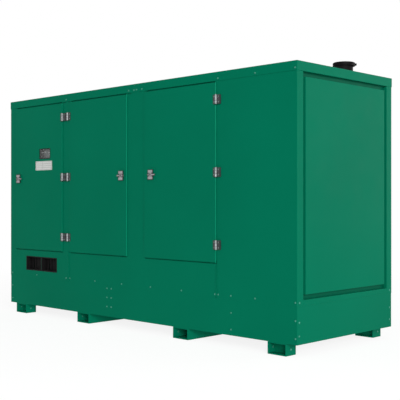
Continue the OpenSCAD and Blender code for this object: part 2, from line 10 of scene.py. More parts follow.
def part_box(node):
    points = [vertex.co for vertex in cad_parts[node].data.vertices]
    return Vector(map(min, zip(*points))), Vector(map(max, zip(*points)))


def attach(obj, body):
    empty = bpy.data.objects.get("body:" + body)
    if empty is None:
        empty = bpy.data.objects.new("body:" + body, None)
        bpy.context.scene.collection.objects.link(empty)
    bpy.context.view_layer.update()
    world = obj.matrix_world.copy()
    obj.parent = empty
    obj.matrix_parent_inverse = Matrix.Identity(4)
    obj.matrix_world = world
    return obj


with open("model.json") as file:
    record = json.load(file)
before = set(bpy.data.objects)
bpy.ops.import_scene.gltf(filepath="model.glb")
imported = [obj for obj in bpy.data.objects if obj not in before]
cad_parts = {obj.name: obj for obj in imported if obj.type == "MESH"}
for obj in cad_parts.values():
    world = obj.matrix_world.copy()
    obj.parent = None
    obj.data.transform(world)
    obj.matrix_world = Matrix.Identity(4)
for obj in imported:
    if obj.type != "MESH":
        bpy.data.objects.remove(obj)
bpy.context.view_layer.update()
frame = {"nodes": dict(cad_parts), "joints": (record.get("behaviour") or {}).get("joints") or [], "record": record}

# Shapes are drawn in millimetres; the meshes made from them are in metres.
MM = 0.001
X, Y, Z = Vector((1, 0, 0)), Vector((0, 1, 0)), Vector((0, 0, 1))
scene = bpy.context.scene
NODES = frame["nodes"]
BOX = {name: [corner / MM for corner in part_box(name)] for name in NODES}
JOINT_AT = {joint["name"]: Vector(joint["pos_m"]) / MM for joint in frame["joints"]}
SLOT_OF_NODE = {part["node"]: part["material_slot"] for part in frame["record"]["subparts"]}


def extent(node):
    """A node's lowest and highest corners, its middle and its size."""
    low, high = BOX[node]
    return low, high, (low + high) / 2, high - low


def add_object(name, data):
    thing = bpy.data.objects.new(name, data)
    scene.collection.objects.link(thing)
    return thing


# ---- Materials ----

def srgb(red, green, blue):
    """A linear colour from 8-bit display values."""
    def linear(value):
        v = value / 255
        return v / 12.92 if v <= 0.04045 else ((v + 0.055) / 1.055) ** 2.4
    return (linear(red), linear(green), linear(blue), 1.0)


def shade(colour, factor):
    return tuple(c * factor for c in colour[:3]) + (1.0,)


def tones(colour, low, high):
    return shade(colour, low), shade(colour, high)


def plug(tree, node, inputs):
    """Gives inputs of a node a value each, or the output of another node."""
    for key, value in inputs.items():
        if isinstance(value, bpy.types.NodeSocket):
            tree.links.new(value, node.inputs[key])
        else:
            node.inputs[key].default_value = value
    return node


def add_node(tree, kind, inputs=None, operation=None):
    node = tree.nodes.new("ShaderNode" + kind)
    if operation:
        node.operation = operation
    return plug(tree, node, inputs or {})


MATERIAL = {}


def surface(name, colours, tone, gloss, roughness, grain, depth, strength, span=(0.3, 0.7), **inputs):
    """Makes a principled material and gives its name. Its colour, roughness and relief each follow a noise.

    tone, gloss and grain say what noise: features a metre, detail, roughness and stretch, as far as given.
    """
    material = bpy.data.materials.new(name)
    material.use_nodes = True
    tree = material.node_tree
    place = add_node(tree, "TexCoord").outputs["Object"]

    def noise(scale, detail=3.0, rough=0.5, stretch=(1, 1, 1)):
        vector = add_node(tree, "Mapping", {"Vector": place, "Scale": stretch}).outputs["Vector"]
        settings = {"Vector": vector, "Scale": scale, "Detail": detail, "Roughness": rough}
        return add_node(tree, "TexNoise", settings).outputs["Fac"]

    ramp = add_node(tree, "ValToRGB", {"Fac": noise(*tone)})
    for element, position, colour in zip(ramp.color_ramp.elements, span, colours):
        element.position, element.color = position, colour
    drift = add_node(tree, "MapRange", {"Value": noise(*gloss), "From Min": 0.25, "From Max": 0.75,
                                        "To Min": roughness[0], "To Max": roughness[1]})
    bump = add_node(tree, "Bump", {"Height": noise(*grain), "Distance": depth, "Strength": strength})
    inputs = {key.replace("_", " "): value for key, value in inputs.items()}
    plug(tree, tree.nodes["Principled BSDF"], inputs | {
        "Base Color": ramp.outputs["Color"], "Roughness": drift.outputs["Result"],
        "Normal": bump.outputs["Normal"]})
    MATERIAL[name] = material
    return name


def powder_coat(name, colour, roughness=0.36, specular=0.014, peel=0.12):
    """Satin paint with a faint orange peel and a slow drift of tone."""
    return surface(name, tones(colour, 0.96, 1.04), (1.3, 2), (9, 4), (roughness - 0.05, roughness + 0.06),
                   (420, 2), peel * MM, 0.6, Specular_IOR_Level=specular)


def cast_paint(name, colour, roughness=0.55, specular=0.25, grain=0.6):
    """Paint over rough cast iron, dusty in patches."""
    return surface(name, tones(colour, 0.7, 1.2), (14, 6, 0.7), (40,), (roughness - 0.1, roughness + 0.12),
                   (260, 5), grain * MM, 0.8, Specular_IOR_Level=specular)


def bare_metal(name, colour, roughness, metallic, stretch=(1, 1, 1)):
    """Plated or machined metal with a brushed grain along the axis of the least stretch."""
    return surface(name, tones(colour, 0.82, 1.1), (55, 4, 0.5, stretch), (120, 3, 0.5, stretch),
                   (roughness - 0.08, roughness + 0.12), (500, 3, 0.5, stretch), 0.1 * MM, 0.5,
                   Metallic=metallic)


def rubber(name, colour):
    """Moulded rubber: matt, with a fine grain and a bloom of dust."""
    return surface(name, tones(colour, 1, 1.9), (30, 5), (90,), (0.65, 0.9), (900, 2), 0.2 * MM, 0.7,
                   span=(0.45, 0.85), Specular_IOR_Level=0.15)


def foam(name, colour):
    """Open-cell sound foam: very matt, with pores a millimetre or two across."""
    return surface(name, tones(colour, 0.45, 1.35), (600, 2, 0.8), (60,), (0.88, 1.0), (700, 3, 0.8),
                   1.2 * MM, 1.0, Specular_IOR_Level=0.02, Sheen_Weight=0.15, Sheen_Roughness=0.6)


def tinted_pane(name):
    """Smoked plastic sheet with a few hairline scratches."""
    return surface(name, (srgb(196, 200, 200), srgb(206, 208, 208)), (12,), (150, 3, 0.5, (1, 1, 12)),
                   (0.02, 0.07), (4, 1), 0.2 * MM, 0.2, IOR=1.22, Transmission_Weight=0.92)


def signal(name, colour, glow=0.0):
    """A moulded lens or button of strong colour."""
    return surface(name, tones(colour, 0.9, 1.1), (200,), (300,), (0.2, 0.35), (1200, 1), 0.05 * MM, 0.5,
                   Emission_Color=colour, Emission_Strength=glow)


PAINT_GREEN = srgb(2, 118, 88)
RUBBER_BLACK = srgb(18, 17, 18)
# The materials of each slot. The first of them is the finish of the slot's CAD nodes.
FINISHES = {
    "enclosure_paint": [
        powder_coat("enclosure_paint", PAINT_GREEN),
        # A lighter green: painted highlight on the edge beads of the doors.
        powder_coat("edge_highlight_paint", shade(PAINT_GREEN, 1.25)),
        # A darker green: painted shade in the end grooves and under the lid's skirt.
        powder_coat("groove_shade_paint", shade(PAINT_GREEN, 0.62)),
        # Screw heads: green paint made paler, so that it also stands in for their highlights (painted highlight).
        bare_metal("painted_head_and_highlight", srgb(70, 156, 134), 0.4, 0.45)],
    "black_paint": [powder_coat("black_paint", srgb(20, 17, 19), 0.5, 0.06)],
    "tank_paint": [powder_coat("tank_paint", srgb(40, 40, 42), 0.55, 0.2)],
    "radiator_black": [powder_coat("radiator_black", srgb(26, 26, 28), 0.6, 0.2)],
    "cabinet_paint": [
        powder_coat("cabinet_paint", srgb(74, 76, 78), 0.45, 0.3),
        powder_coat("dark_lining", srgb(78, 78, 80), 0.6, 0.15)],
    "black_rubber": [
        rubber("black_rubber", RUBBER_BLACK),
        rubber("curtain_rubber", shade(RUBBER_BLACK, 0.3)),
        foam("sound_foam", srgb(52, 52, 55))],
    "hinge_black": [
        bare_metal("hinge_black", srgb(62, 64, 66), 0.5, 0.25),
        bare_metal("hinge_pin_steel", srgb(150, 154, 156), 0.4, 0.35)],
    "handle_alloy": [
        bare_metal("handle_cast_alloy", srgb(118, 116, 118), 0.5, 0.3),
        bare_metal("handle_alloy", srgb(164, 160, 162), 0.42, 0.3, stretch=(1, 1, 0.1)),
        bare_metal("bolt_zinc", srgb(116, 136, 128), 0.4, 0.45)],
    "window_pane": [
        tinted_pane("window_pane"),
        # The blank screen glows: partly its backlight, partly painted light standing in for light it lacks behind
        # the pane.
        signal("screen_grey_glow", srgb(126, 134, 132), glow=0.3)],
    "plate_white": [
        powder_coat("plate_white", srgb(222, 224, 220), 0.5, 0.2, peel=0.04),
        powder_coat("plate_line", srgb(120, 124, 124), 0.6, 0.1, peel=0.04),
        signal("signal_red", srgb(176, 24, 20)),
        signal("signal_green", srgb(30, 150, 60)),
        signal("signal_amber", srgb(214, 140, 20))],
    "engine_paint": [cast_paint("engine_paint", srgb(92, 96, 98))],
    "alternator_paint": [cast_paint("alternator_paint", srgb(70, 76, 82), grain=0.4)],
    "exhaust_steel": [cast_paint("exhaust_steel", srgb(124, 120, 114), 0.62, 0.3)],
}


# ---- Places and outlines ----

def facing(at, out=-Y):
    """A place whose Z axis points out, and whose Y axis points up, or to the back where out is upright."""
    z = Vector(out).normalized()
    up = Y if abs(z.z) > 0.9 else Z
    x = up.cross(z).normalized()
    place = Matrix((x, z.cross(x), z)).transposed().to_4x4()
    place.translation = at
    return place


def wall(side, x, y, z):
    """A place y from the middle on the front (side -1) or the back (side 1), which faces out."""
    return facing((x, side * y, z), Y * side)


def shifted(place, x, y, z=0):
    """A place moved along its own axes."""
    return place @ Matrix.Translation((x, y, z))


def turned(place, angle, radius):
    """A place at so many degrees round a place's Z axis, and so far from it."""
    return place @ Matrix.Rotation(math.radians(angle), 4, "Z") @ Matrix.Translation((radius, 0, 0))


def spaced(start, stop, count):
    """So many values from start to stop, both included."""
    return [start + (stop - start) * i / (count - 1) for i in range(count)]


def arc(centre, radius, start, stop, steps):
    """Points on an arc between two angles in degrees; a full turn doesn't repeat its first point."""
    angles = spaced(math.radians(start), math.radians(stop), steps + 1)
    points = [(centre[0] + radius * math.cos(a), centre[1] + radius * math.sin(a)) for a in angles]
    return points[:-1] if stop - start == 360 else points


def round_rect(width, height, radius, steps=4):
    """The outline of a rectangle with round corners, anticlockwise."""
    x, y = width / 2 - radius, height / 2 - radius
    corners = [((x, y), 0), ((-x, y), 90), ((-x, -y), 180), ((x, -y), 270)]
    return [p for centre, start in corners for p in arc(centre, radius, start, start + 90, steps)]


def rounded_route(points, radius, steps=6):
    """A polyline whose corners are turned with the same radius."""
    points = [Vector(p) for p in points]
    route = [points[0]]
    for before, corner, after in zip(points, points[1:], points[2:]):
        back, on = (before - corner).normalized(), (after - corner).normalized()
        half_angle = back.angle(on) / 2
        cut = radius / math.tan(half_angle)
        centre = corner + (back + on).normalized() * radius / math.sin(half_angle)
        start = (corner + back * cut - centre).normalized()
        stop = (corner + on * cut - centre).normalized()
        route += [centre + start.slerp(stop, i / steps) * radius for i in range(steps + 1)]
    return route + [points[-1]]


# ---- Shapes ----

class Shape:
    """A mesh in the making, in millimetres in the model's frame."""

    def __init__(self, material, body, bevel, smooth_angle):
        self.bm = bmesh.new()
        self.material, self.body, self.bevel, self.smooth_angle = material, body, bevel, smooth_angle

    def loft(self, rings, loop=False):
        """A skin over rings of as many points each, with a face at each end or joined into a loop."""
        rings = [[self.bm.verts.new(p) for p in ring] for ring in rings]
        for low, high in zip(rings, rings[1:] + (rings[:1] if loop else [])):
            for i in range(len(low)):
                self.bm.faces.new((low[i - 1], low[i], high[i], high[i - 1]))
        if not loop:
            self.bm.faces.new(rings[0][::-1])
            self.bm.faces.new(rings[-1])

    def prism(self, place, outline, depth, start=0.0):
        """An outline in a place's XY plane, carried along its Z axis from start on."""
        self.loft([[place @ Vector((x, y, z)) for x, y in outline] for z in (start, start + depth)])

    def slab(self, place, width, height, depth, start=0.0):
        """A box centred on a place's Z axis."""
        x, y = width / 2, height / 2
        self.prism(place, [(-x, -y), (x, -y), (x, y), (-x, y)], depth, start)

    def plate(self, place, width, height, radius, depth, start=0.0):
        """A slab with round corners."""
        self.prism(place, round_rect(width, height, radius), depth, start)

    def frame(self, place, outer, inner, depth, start=0.0):
        """A prism with a hole: two outlines with as many points each."""
        rings = [(outer, start), (outer, start + depth), (inner, start + depth), (inner, start)]
        self.loft([[place @ Vector((x, y, z)) for x, y in outline] for outline, z in rings], loop=True)

    def rim(self, place, width, height, outer, inner, depth, start=0.0, steps=4):
        """A frame between two rectangles with round corners, each given as (added size, radius)."""
        outlines = [round_rect(width + more, height + more, radius, steps) for more, radius in (outer, inner)]
        self.frame(place, *outlines, depth, start)

    def ribs(self, place, angles, radius, width, height, depth, start=0.0):
        """A slab at each of the angles round a place's Z axis, centred so far from it."""
        for angle in angles:
            self.slab(turned(place, angle, radius), width, height, depth, start)

    def lathe(self, place, profile, sides=24, loop=False):
        """(radius, height) points turned about a place's Z axis."""
        rings = []
        for radius, height in profile:
            circle = arc((0, 0), radius, 0, 360, sides) if radius else [(0, 0)]
            rings.append([self.bm.verts.new(place @ Vector((x, y, height))) for x, y in circle])
        for low, high in zip(rings, rings[1:] + (rings[:1] if loop else [])):
            for i in range(sides if len(low) + len(high) > 2 else 0):
                j = (i + 1) % sides
                corners = (low[i % len(low)], low[j % len(low)], high[j % len(high)], high[i % len(high)])
                self.bm.faces.new(list(dict.fromkeys(corners)))

    def tube(self, place, inner, outer, start, stop, sides=32):
        """A sleeve between two radii about a place's Z axis."""
        self.lathe(place, [(inner, start), (outer, start), (outer, stop), (inner, stop)], sides, loop=True)

    def rod(self, place, radius, length, start=0.0, sides=24, edge=0.0):
        """A closed cylinder, whose rims may be chamfered."""
        end = start + length
        profile = [(0, start), (radius - edge, start), (radius, start + edge),
                   (radius, end - edge), (radius - edge, end), (0, end)]
        self.lathe(place, list(dict.fromkeys(profile)), sides)

    def pipe(self, route, radius, sides=12):
        """A tube along a route."""
        route = [Vector(p) for p in route]
        rings, across = [], None
        for i, point in enumerate(route):
            ahead = (route[min(i + 1, len(route) - 1)] - route[max(i - 1, 0)]).normalized()
            across = across or (X if abs(ahead.x) < 0.7 else Z)
            across = (across - ahead * across.dot(ahead)).normalized()
            other = ahead.cross(across)
            rings.append([point + across * x + other * y for x, y in arc((0, 0), radius, 0, 360, sides)])
        self.loft(rings)

    def foam(self, place, width, height, base, peak, pitch=50):
        """A slab of pyramid foam: a flat back, and a point in each cell of its face."""
        across, up = round(width / pitch), round(height / pitch)

        def vert(i, j, z):
            x, y = width * (i / across - 0.5), height * (j / up - 0.5)
            return self.bm.verts.new(place @ Vector((x, y, z)))

        corners = {(i, j): vert(i, j, base) for i in range(across + 1) for j in range(up + 1)}
        for i in range(across):
            for j in range(up):
                top = vert(i + 0.5, j + 0.5, base + peak)
                cell = [corners[spot] for spot in ((i, j), (i + 1, j), (i + 1, j + 1), (i, j + 1))]
                for a, b in zip(cell, cell[1:] + cell[:1]):
                    self.bm.faces.new((a, b, top))
        rim = ([(i, 0) for i in range(across)] + [(across, j) for j in range(up)]
               + [(i, up) for i in range(across, 0, -1)] + [(0, j) for j in range(up, 0, -1)])
        foot = [vert(i, j, 0) for i, j in rim]
        for k, spot in enumerate(rim):
            n = (k + 1) % len(rim)
            self.bm.faces.new((foot[k], foot[n], corners[rim[n]], corners[spot]))
        self.bm.faces.new(foot[::-1])

    def make(self, name):
        """The finished object, which rides on its body and takes its material."""
        bmesh.ops.recalc_face_normals(self.bm, faces=self.bm.faces)
        self.bm.transform(Matrix.Scale(MM, 4))
        mesh = bpy.data.meshes.new(name)
        self.bm.to_mesh(mesh)
        self.bm.free()
        mesh.materials.append(MATERIAL[self.material])
        thing = add_object(name, mesh)
        mesh.shade_smooth()
        if self.bevel:
            soften(thing, self.bevel)
        else:
            mesh.set_sharp_from_angle(angle=math.radians(self.smooth_angle))
        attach(thing, self.body)


def soften(thing, width):
    """Rounds the hard edges of a mesh a little, as folded sheet or a worn casting has them."""
    bevel = thing.modifiers.new("soft_edges", "BEVEL")
    bevel.width = width * MM
    bevel.segments = 2
    bevel.limit_method = "ANGLE"
    bevel.angle_limit = math.radians(40)
    bevel.harden_normals = True


SHAPES = {}


def piece(name, material, body="enclosure", bevel=0, smooth_angle=35):
    """The shape of the piece of that name: a new one, or the one that was begun before."""
    if name not in SHAPES:
        SHAPES[name] = Shape(material, body, bevel, smooth_angle)
    return SHAPES[name]


# ---- Finishes of the CAD nodes ----

# How far the edges of nodes are rounded.
SOFT_EDGES = {
    0.5: "data_plate",
    0.8: "frame_hinges left_door_hinges middle_door_hinges right_door_hinges back_hinges",
    1.0: "back_latches rain_cap exhaust_stack",
    1.2: "feet fork_pockets left_latch_plate middle_latch_plate right_latch_plate",
    1.5: "front_right_panel right_end_panel left_end_panel",
    2.0: "roof_lid left_handle middle_handle right_handle",
    2.4: "left_door middle_door right_door back_doors",
    2.5: "control_cabinet",
    3.0: "radiator alternator skid_rails",
    4.0: "base_tank",
    5.0: "engine",
}

for name, node in NODES.items():
    node.data.materials.clear()
    node.data.materials.append(MATERIAL[FINISHES[SLOT_OF_NODE[name]][0]])
for width, names in SOFT_EDGES.items():
    for name in names.split():
        weld = NODES[name].modifiers.new("joined_corners", "WELD")
        weld.merge_threshold = 1e-5
        soften(NODES[name], width)


# ---- Where things are ----

WALL_X, WALL_Y = BOX["front_right_panel"][1].x, -BOX["front_right_panel"][0].y
CEILING = BOX["front_right_panel"][1].z
BASE_X, BASE_Y = BOX["base_side_rails"][1].x, -BOX["base_side_rails"][0].y
RAIL_Z0, BASE_TOP = BOX["base_side_rails"][0].z, BOX["base_side_rails"][1].z
SKIN_Y, DOOR_BACK_Y = -BOX["middle_door"][0].y, -BOX["middle_door"][1].y
DOOR_Z0, DOOR_Z1 = BOX["middle_door"][0].z, BOX["middle_door"][1].z
DOOR_MIDDLE_Z = (DOOR_Z0 + DOOR_Z1) / 2
ROOF_Z0, ROOF_TOP = BOX["roof_lid"][0].z, BOX["roof_lid"][1].z
LID_Y = BOX["roof_lid"][1].y
SEAM_X, RIGHT_SEAM_X = BOX["front_sill"][0].x, BOX["front_sill"][1].x
SEAM_TOP = BOX["front_sill"][1].z
SIDES = (-1, 1)
SIDE_NAME = {-1: "front", 1: "back"}
DOORS = ("left", "middle", "right")
LEAVES = [(door, side) for side in SIDES for door in DOORS]
# 1 where a door lies towards -X from its hinge pins, -1 where it lies towards +X
DOOR_SIDE = {"left": 1, "middle": -1, "right": 1}
# The joints of the lid's sheets
LID_JOINTS = (-774, 80, 924)


# ---- Fasteners ----

SCREW_D = 12.5


def screw_head(shape, place, d=SCREW_D):
    """A domed flange head with a round socket."""
    r = d / 2
    shape.lathe(place, [(0, 0), (r, 0), (r, 0.1 * d), (0.78 * r, 0.16 * d), (0.74 * r, 0.34 * d),
                        (0.5 * r, 0.42 * d), (0.34 * r, 0.42 * d), (0.3 * r, 0.2 * d), (0, 0.2 * d)], 12)


def hex_bolt(shape, place, d):
    """A hexagon head of thread size d, on a washer."""
    shape.rod(place, 1.15 * d, 0.18 * d, sides=16)
    shape.lathe(place, [(0, 0.15 * d), (0.92 * d, 0.15 * d), (0.92 * d, 0.72 * d), (0.8 * d, 0.82 * d),
                        (0, 0.82 * d)], 6)


def bolt_circle(shape, place, d, radius, start, step, level=0):
    """Hexagon bolts round a place's Z axis, from start degrees on."""
    for angle in range(start, start + 360, step):
        hex_bolt(shape, shifted(turned(place, angle, radius), 0, 0, level), d)


def wall_screws():
    """The screws of the lower panels and of the base, front and back."""
    edge, left_x, column_x, joint_x = 13, -WALL_X + 27, 1040, -230
    panel_row = [left_x, -WALL_X + 399, SEAM_X - 37, column_x]
    panel_row += spaced(SEAM_X + edge, RIGHT_SEAM_X - edge, 6)
    panel_row += spaced(RIGHT_SEAM_X + edge + 4, WALL_X - edge, 3)
    corner_zs, joint_zs = (RAIL_Z0 + 39, RAIL_Z0 + 151), spaced(BASE_TOP - 22, RAIL_Z0 + 77, 3)
    base_spots = [(x, z) for x in (left_x, column_x, WALL_X - edge) for z in corner_zs]
    base_spots += [(x, z) for x in (joint_x - 26, joint_x + 26) for z in joint_zs]
    for side in SIDES:
        panel = piece(SIDE_NAME[side] + "_panel_screws", "painted_head_and_highlight")
        base = piece(SIDE_NAME[side] + "_base_screws", "painted_head_and_highlight")
        for x in panel_row:
            screw_head(panel, wall(side, x, WALL_Y, BASE_TOP + 24))
        for x, z in base_spots:
            screw_head(base, wall(side, x, BASE_Y, z))


def lid_screws():
    """The screws through the lid's skirt."""
    xs = (LID_JOINTS[0], 6, 67, 95, 155, LID_JOINTS[2], 1253, 1579)
    shape = piece("lid_screws", "painted_head_and_highlight")
    for side in SIDES:
        for x in xs:
            screw_head(shape, wall(side, x, LID_Y, ROOF_Z0 + 17))


def end_screws():
    """The low-headed screws at the corners of the two end faces."""
    r = SCREW_D / 2
    low_head = [(0, 0), (r, 0), (r, 1.2), (0.7 * r, 2.8), (0.4 * r, 2.8), (0.4 * r, 1.2), (0, 1.2)]
    shape = piece("end_screws", "painted_head_and_highlight")
    for side in SIDES:
        for y in (-WALL_Y + 24, WALL_Y - 24):
            for x, z in ((WALL_X, BASE_TOP + 22), (BASE_X, RAIL_Z0 + 139), (BASE_X, RAIL_Z0 + 54)):
                shape.lathe(facing((side * x, y, z), X * side), low_head, 12)


def end_groove_strips():
    """Strips of painted shade in the grooves above and below the raised field of each end."""
    floor_x, width, groove, gap, thick = WALL_X - 25, 2 * (WALL_Y - 63), 31, 0.5, 1
    shape = piece("end_groove_strips", "groove_shade_paint")
    for side in SIDES:
        for z in (BASE_TOP + 37 + groove / 2, ROOF_TOP - 62 - groove / 2):
            shape.slab(facing((side * floor_x, 0, z), X * side), width - 2 * gap, groove - 2 * gap, thick)


def foot_bolts():
    """Bolts in the mouths of the feet and fork pockets, and through the feet's side walls."""
    foot_l, sheet, set_back, size = 151, 8, 46, 6
    feet_x, fork_x = (BOX[node][1].x - foot_l / 2 for node in ("feet", "fork_pockets"))
    shape = piece("foot_bolts", "painted_head_and_highlight")
    for side in SIDES:
        y, z = side * (BASE_Y - set_back), RAIL_Z0 / 2
        for x in (-feet_x, -fork_x, fork_x, feet_x):
            hex_bolt(shape, facing((x - foot_l / 2 + sheet, y, z), X), size)
        for x in (-feet_x, feet_x):
            for way in (-1, 1):
                hex_bolt(shape, facing((x + way * foot_l / 2, y, z), X * way), size)


def seam_flanges():
    """The turned-out flanges at the upright seams of the lower panels."""
    proud, width, gap, drop = 5, 7, 4, 26
    shape = piece("panel_seam_flanges", "enclosure_paint", bevel=0.6)
    for side, x, below in ((-1, SEAM_X - 2, 4), (-1, RIGHT_SEAM_X, drop), (1, RIGHT_SEAM_X, drop)):
        place = wall(side, x, WALL_Y, (BASE_TOP + SEAM_TOP - below) / 2)
        shape.slab(place, width, SEAM_TOP - BASE_TOP - below - gap, proud)


wall_screws()
lid_screws()
end_screws()
end_groove_strips()
foot_bolts()
seam_flanges()


# ---- Door hardware ----

HINGE_H = 62
LEAF_FACE_Y = SKIN_Y + 5
LEAF_MIDDLE = 19.5
DOOR_INSET = 19


def hinge_heights(node):
    low, high = BOX[node]
    return [low.z + HINGE_H / 2, (low.z + high.z) / 2, high.z - HINGE_H / 2]


def knuckle(shape, pin, z, length):
    """A barrel that sleeves one knuckle, with chamfered ends."""
    shape.rod(facing((pin.x, pin.y, z), Z), 7.5, length, -length / 2, edge=0.8)


def pin_heads(shape, pin, z):
    for way in (-1, 1):
        shape.lathe(facing((pin.x, pin.y, z + way * HINGE_H / 2), Z * way),
                    [(0, 0), (5, 0), (5, 1), (3.6, 2.2), (0, 2.8)], 16)


def leaf_screws(shape, side, x, z):
    for dz in (-18, 18):
        shape.lathe(wall(side, x, LEAF_FACE_Y, z + dz),
                    [(0, 0), (5, 0), (4.4, 1.4), (2.2, 2.3), (1.6, 2.3), (1.6, 1), (0, 1)], 12)


def hinge_parts(name, body="enclosure"):
    return (piece(name + "_hinge_knuckles", "hinge_pin_steel", body),
            piece(name + "_hinge_screws", "bolt_zinc", body))


def hinge_details():
    """Bright knuckles, pins and screws: a moving and a fixed part on each front hinge, fixed on the back."""
    length = (HINGE_H - 1) / 3
    moving_parts = [hinge_parts(door, door + "_door") for door in DOORS]
    (fixed, fixed_screws), (back, back_screws) = hinge_parts("frame"), hinge_parts("back")
    for door, (moving, moving_screws) in zip(DOORS, moving_parts):
        pin = JOINT_AT[door + "_door_swing"]
        back_pin = Vector((pin.x, -pin.y, 0))
        to_frame = DOOR_SIDE[door] * LEAF_MIDDLE
        for z in hinge_heights(door + "_door_hinges"):
            knuckle(moving, pin, z, length)
            pin_heads(fixed, pin, z)
            for way in (-1, 1):
                knuckle(fixed, pin, z + way * (HINGE_H - length) / 2, length)
            leaf_screws(moving_screws, -1, pin.x - to_frame, z)
            leaf_screws(fixed_screws, -1, pin.x + to_frame, z)
        for z in hinge_heights("back_hinges"):
            knuckle(back, back_pin, z, HINGE_H)
            pin_heads(back, back_pin, z)
            for way in (-1, 1):
                leaf_screws(back_screws, 1, pin.x + way * LEAF_MIDDLE, z)


def door_piece(door, side, name, material, rides="door", bevel=0, smooth_angle=35):
    """A detail's shape: one for each front door, on its door or handle, and one for all the back doors."""
    if side < 0:
        return piece(f"{door}_{name}", material, f"{door}_{rides}", bevel, smooth_angle)
    plural = name if name.endswith("foam") else name + "s"
    return piece("back_" + plural, material, "enclosure", bevel, smooth_angle)


def latch_details():
    """A riveted cover over each latch plate, and its handle's pads, collar, ridge, keyway and rim; the rim's black
    is partly a rubber gasket and partly painted shade in the gap round the handle.
    """
    plate_y, lock_y = -BOX["left_latch_plate"][0].y, -BOX["left_handle"][0].y
    face_y, handle_w, handle_h = lock_y - 3, 52, 70
    pad, ridge = (46, 17, 3, 1.2), (24, 8, 2, 1.2)
    collar = [(14, 0), (14, 1), (12.8, 1.8), (11, 1.8), (11, 0)]
    for door, side in LEAVES:
        at = JOINT_AT[door + "_handle_turn"]
        cover = door_piece(door, side, "latch_cover", "enclosure_paint")
        place = wall(side, at.x, plate_y, at.z)
        cover.frame(place, round_rect(88, 100, 6, 3), arc((0, 0), 13, 0, 360, 16), 0.8)
        for x in (-36, 36):
            for y in (-42, 42):
                cover.lathe(shifted(place, x, y, 0.8), [(0, 0), (3.4, 0), (2.6, 1.2), (0, 1.7)], 12)
        face = door_piece(door, side, "handle_face", "handle_alloy", "handle", bevel=0.4)
        for way in (-1, 1):
            face.plate(wall(side, at.x, face_y, at.z + way * 23.5), *pad)
        face.lathe(wall(side, at.x, face_y, at.z), collar, loop=True)
        face.plate(wall(side, at.x + DOOR_SIDE[door] * 29, face_y, at.z), *ridge)
        keyway = door_piece(door, side, "keyway", "black_rubber", "handle")
        keyway.plate(wall(side, at.x, lock_y - 0.1, at.z), 2.4, 9, 1, 0.2, -0.1)
        # Black rim round the handle: a gasket whose black also stands in for the shade in the gap round it.
        rim = door_piece(door, side, "handle_rim", "black_rubber", "handle")
        rim.rim(wall(side, at.x, face_y - 5, at.z), handle_w, handle_h, (4, 3), (-1, 3), 4)


def door_span(door):
    """The X values of a door skin's two edges."""
    return BOX[door + "_door"][0].x, BOX[door + "_door"][1].x


def door_folds():
    """The folded edge of each door's skin, which reaches back almost to the frame, and its seal."""
    skin, reach, width, set_back, gap = 5, 4.7, 5, 0.4, 1
    for door, side in LEAVES:
        x0, x1 = door_span(door)
        place = wall(side, (x0 + x1) / 2, SKIN_Y - skin - reach, DOOR_MIDDLE_Z)
        for name, material, outer, inner in (("fold", "enclosure_paint", set_back, 2 * width),
                                             ("seal", "black_rubber", 2 * width + gap, 4 * width)):
            shape = door_piece(door, side, "door_" + name, material)
            shape.rim(place, x1 - x0, DOOR_Z1 - DOOR_Z0, (-outer, 1), (-inner, 1), reach, steps=1)


def door_edge_beads():
    """A rolled bead down the right edge of each front door's skin; it leaves the hinges free. The middle and right
    beads take a lighter green as a painted highlight.
    """
    root, clear = 0.3, HINGE_H / 2 + 6
    for door, reach, material in (("left", 3.4, "enclosure_paint"), ("middle", 4.3, "edge_highlight_paint"),
                                  ("right", 4.3, "edge_highlight_paint")):
        hinges = [] if door == "middle" else hinge_heights(door + "_door_hinges")
        shape = piece(door + "_door_bead", material, door + "_door", bevel=0.4)
        for z0, z1 in zip([DOOR_Z0] + [z + clear for z in hinges], [z - clear for z in hinges] + [DOOR_Z1]):
            outline = [(-root, 0), (0, 0), (reach, reach), (0, 2 * reach), (-root, 2 * reach)]
            shape.prism(Matrix.Translation((door_span(door)[1], -SKIN_Y, z0)), outline, z1 - z0)


def post_head_strips():
    """Thin strips of painted shade at the heads of the posts, where the lid's skirt stands over them."""
    left_edge, (middle_edge, right_edge) = door_span("left")[1], door_span("middle")
    shape = piece("post_head_strips", "groove_shade_paint")
    for side in SIDES:
        for edge, reach in ((left_edge, 46), (middle_edge, -26), (right_edge, 48)):
            place = wall(side, edge + reach / 2, WALL_Y, (DOOR_Z1 + ROOF_Z0) / 2)
            shape.slab(place, abs(reach), ROOF_Z0 - DOOR_Z1 - 0.4, 0.6)


def door_linings():
    """Foam on the inner faces of the doors, held by a border of folded sheet."""
    border, lap, foam_back = 26, 6, 2
    window_low, window_high = BOX["control_window"]
    for door, side in LEAVES:
        x0, x1 = door_span(door)
        x0, x1, z0, z1 = x0 + DOOR_INSET, x1 - DOOR_INSET, DOOR_Z0 + DOOR_INSET, DOOR_Z1 - DOOR_INSET
        left, right, low, high = x0 + border, x1 - border, z0 + border, z1 - border
        fields, peak = [(left, right, low, high)], 14
        if door == "left" and side < 0:
            sill, head = window_low.z - border, window_high.z + border
            fields, peak = [(left, right, low, sill), (left, right, head, high),
                            (left, window_low.x - border, sill, head)], 12
        foams = door_piece(door, side, "door_foam", "sound_foam", smooth_angle=60)
        for xa, xb, za, zb in fields:
            place = facing(((xa + xb) / 2, side * DOOR_BACK_Y, (za + zb) / 2), Y * -side)
            foams.foam(place, xb - xa, zb - za, foam_back, peak)
        borders = door_piece(door, side, "door_border", "enclosure_paint", bevel=0.8)
        borders.rim(facing(((x0 + x1) / 2, side * DOOR_BACK_Y, DOOR_MIDDLE_Z), Y * -side),
                    x1 - x0, z1 - z0, (-6, 4), (-2 * (border + lap), 3), 4)


hinge_details()
latch_details()
door_folds()
door_edge_beads()
post_head_strips()
door_linings()


# ---- Control window and data plate ----

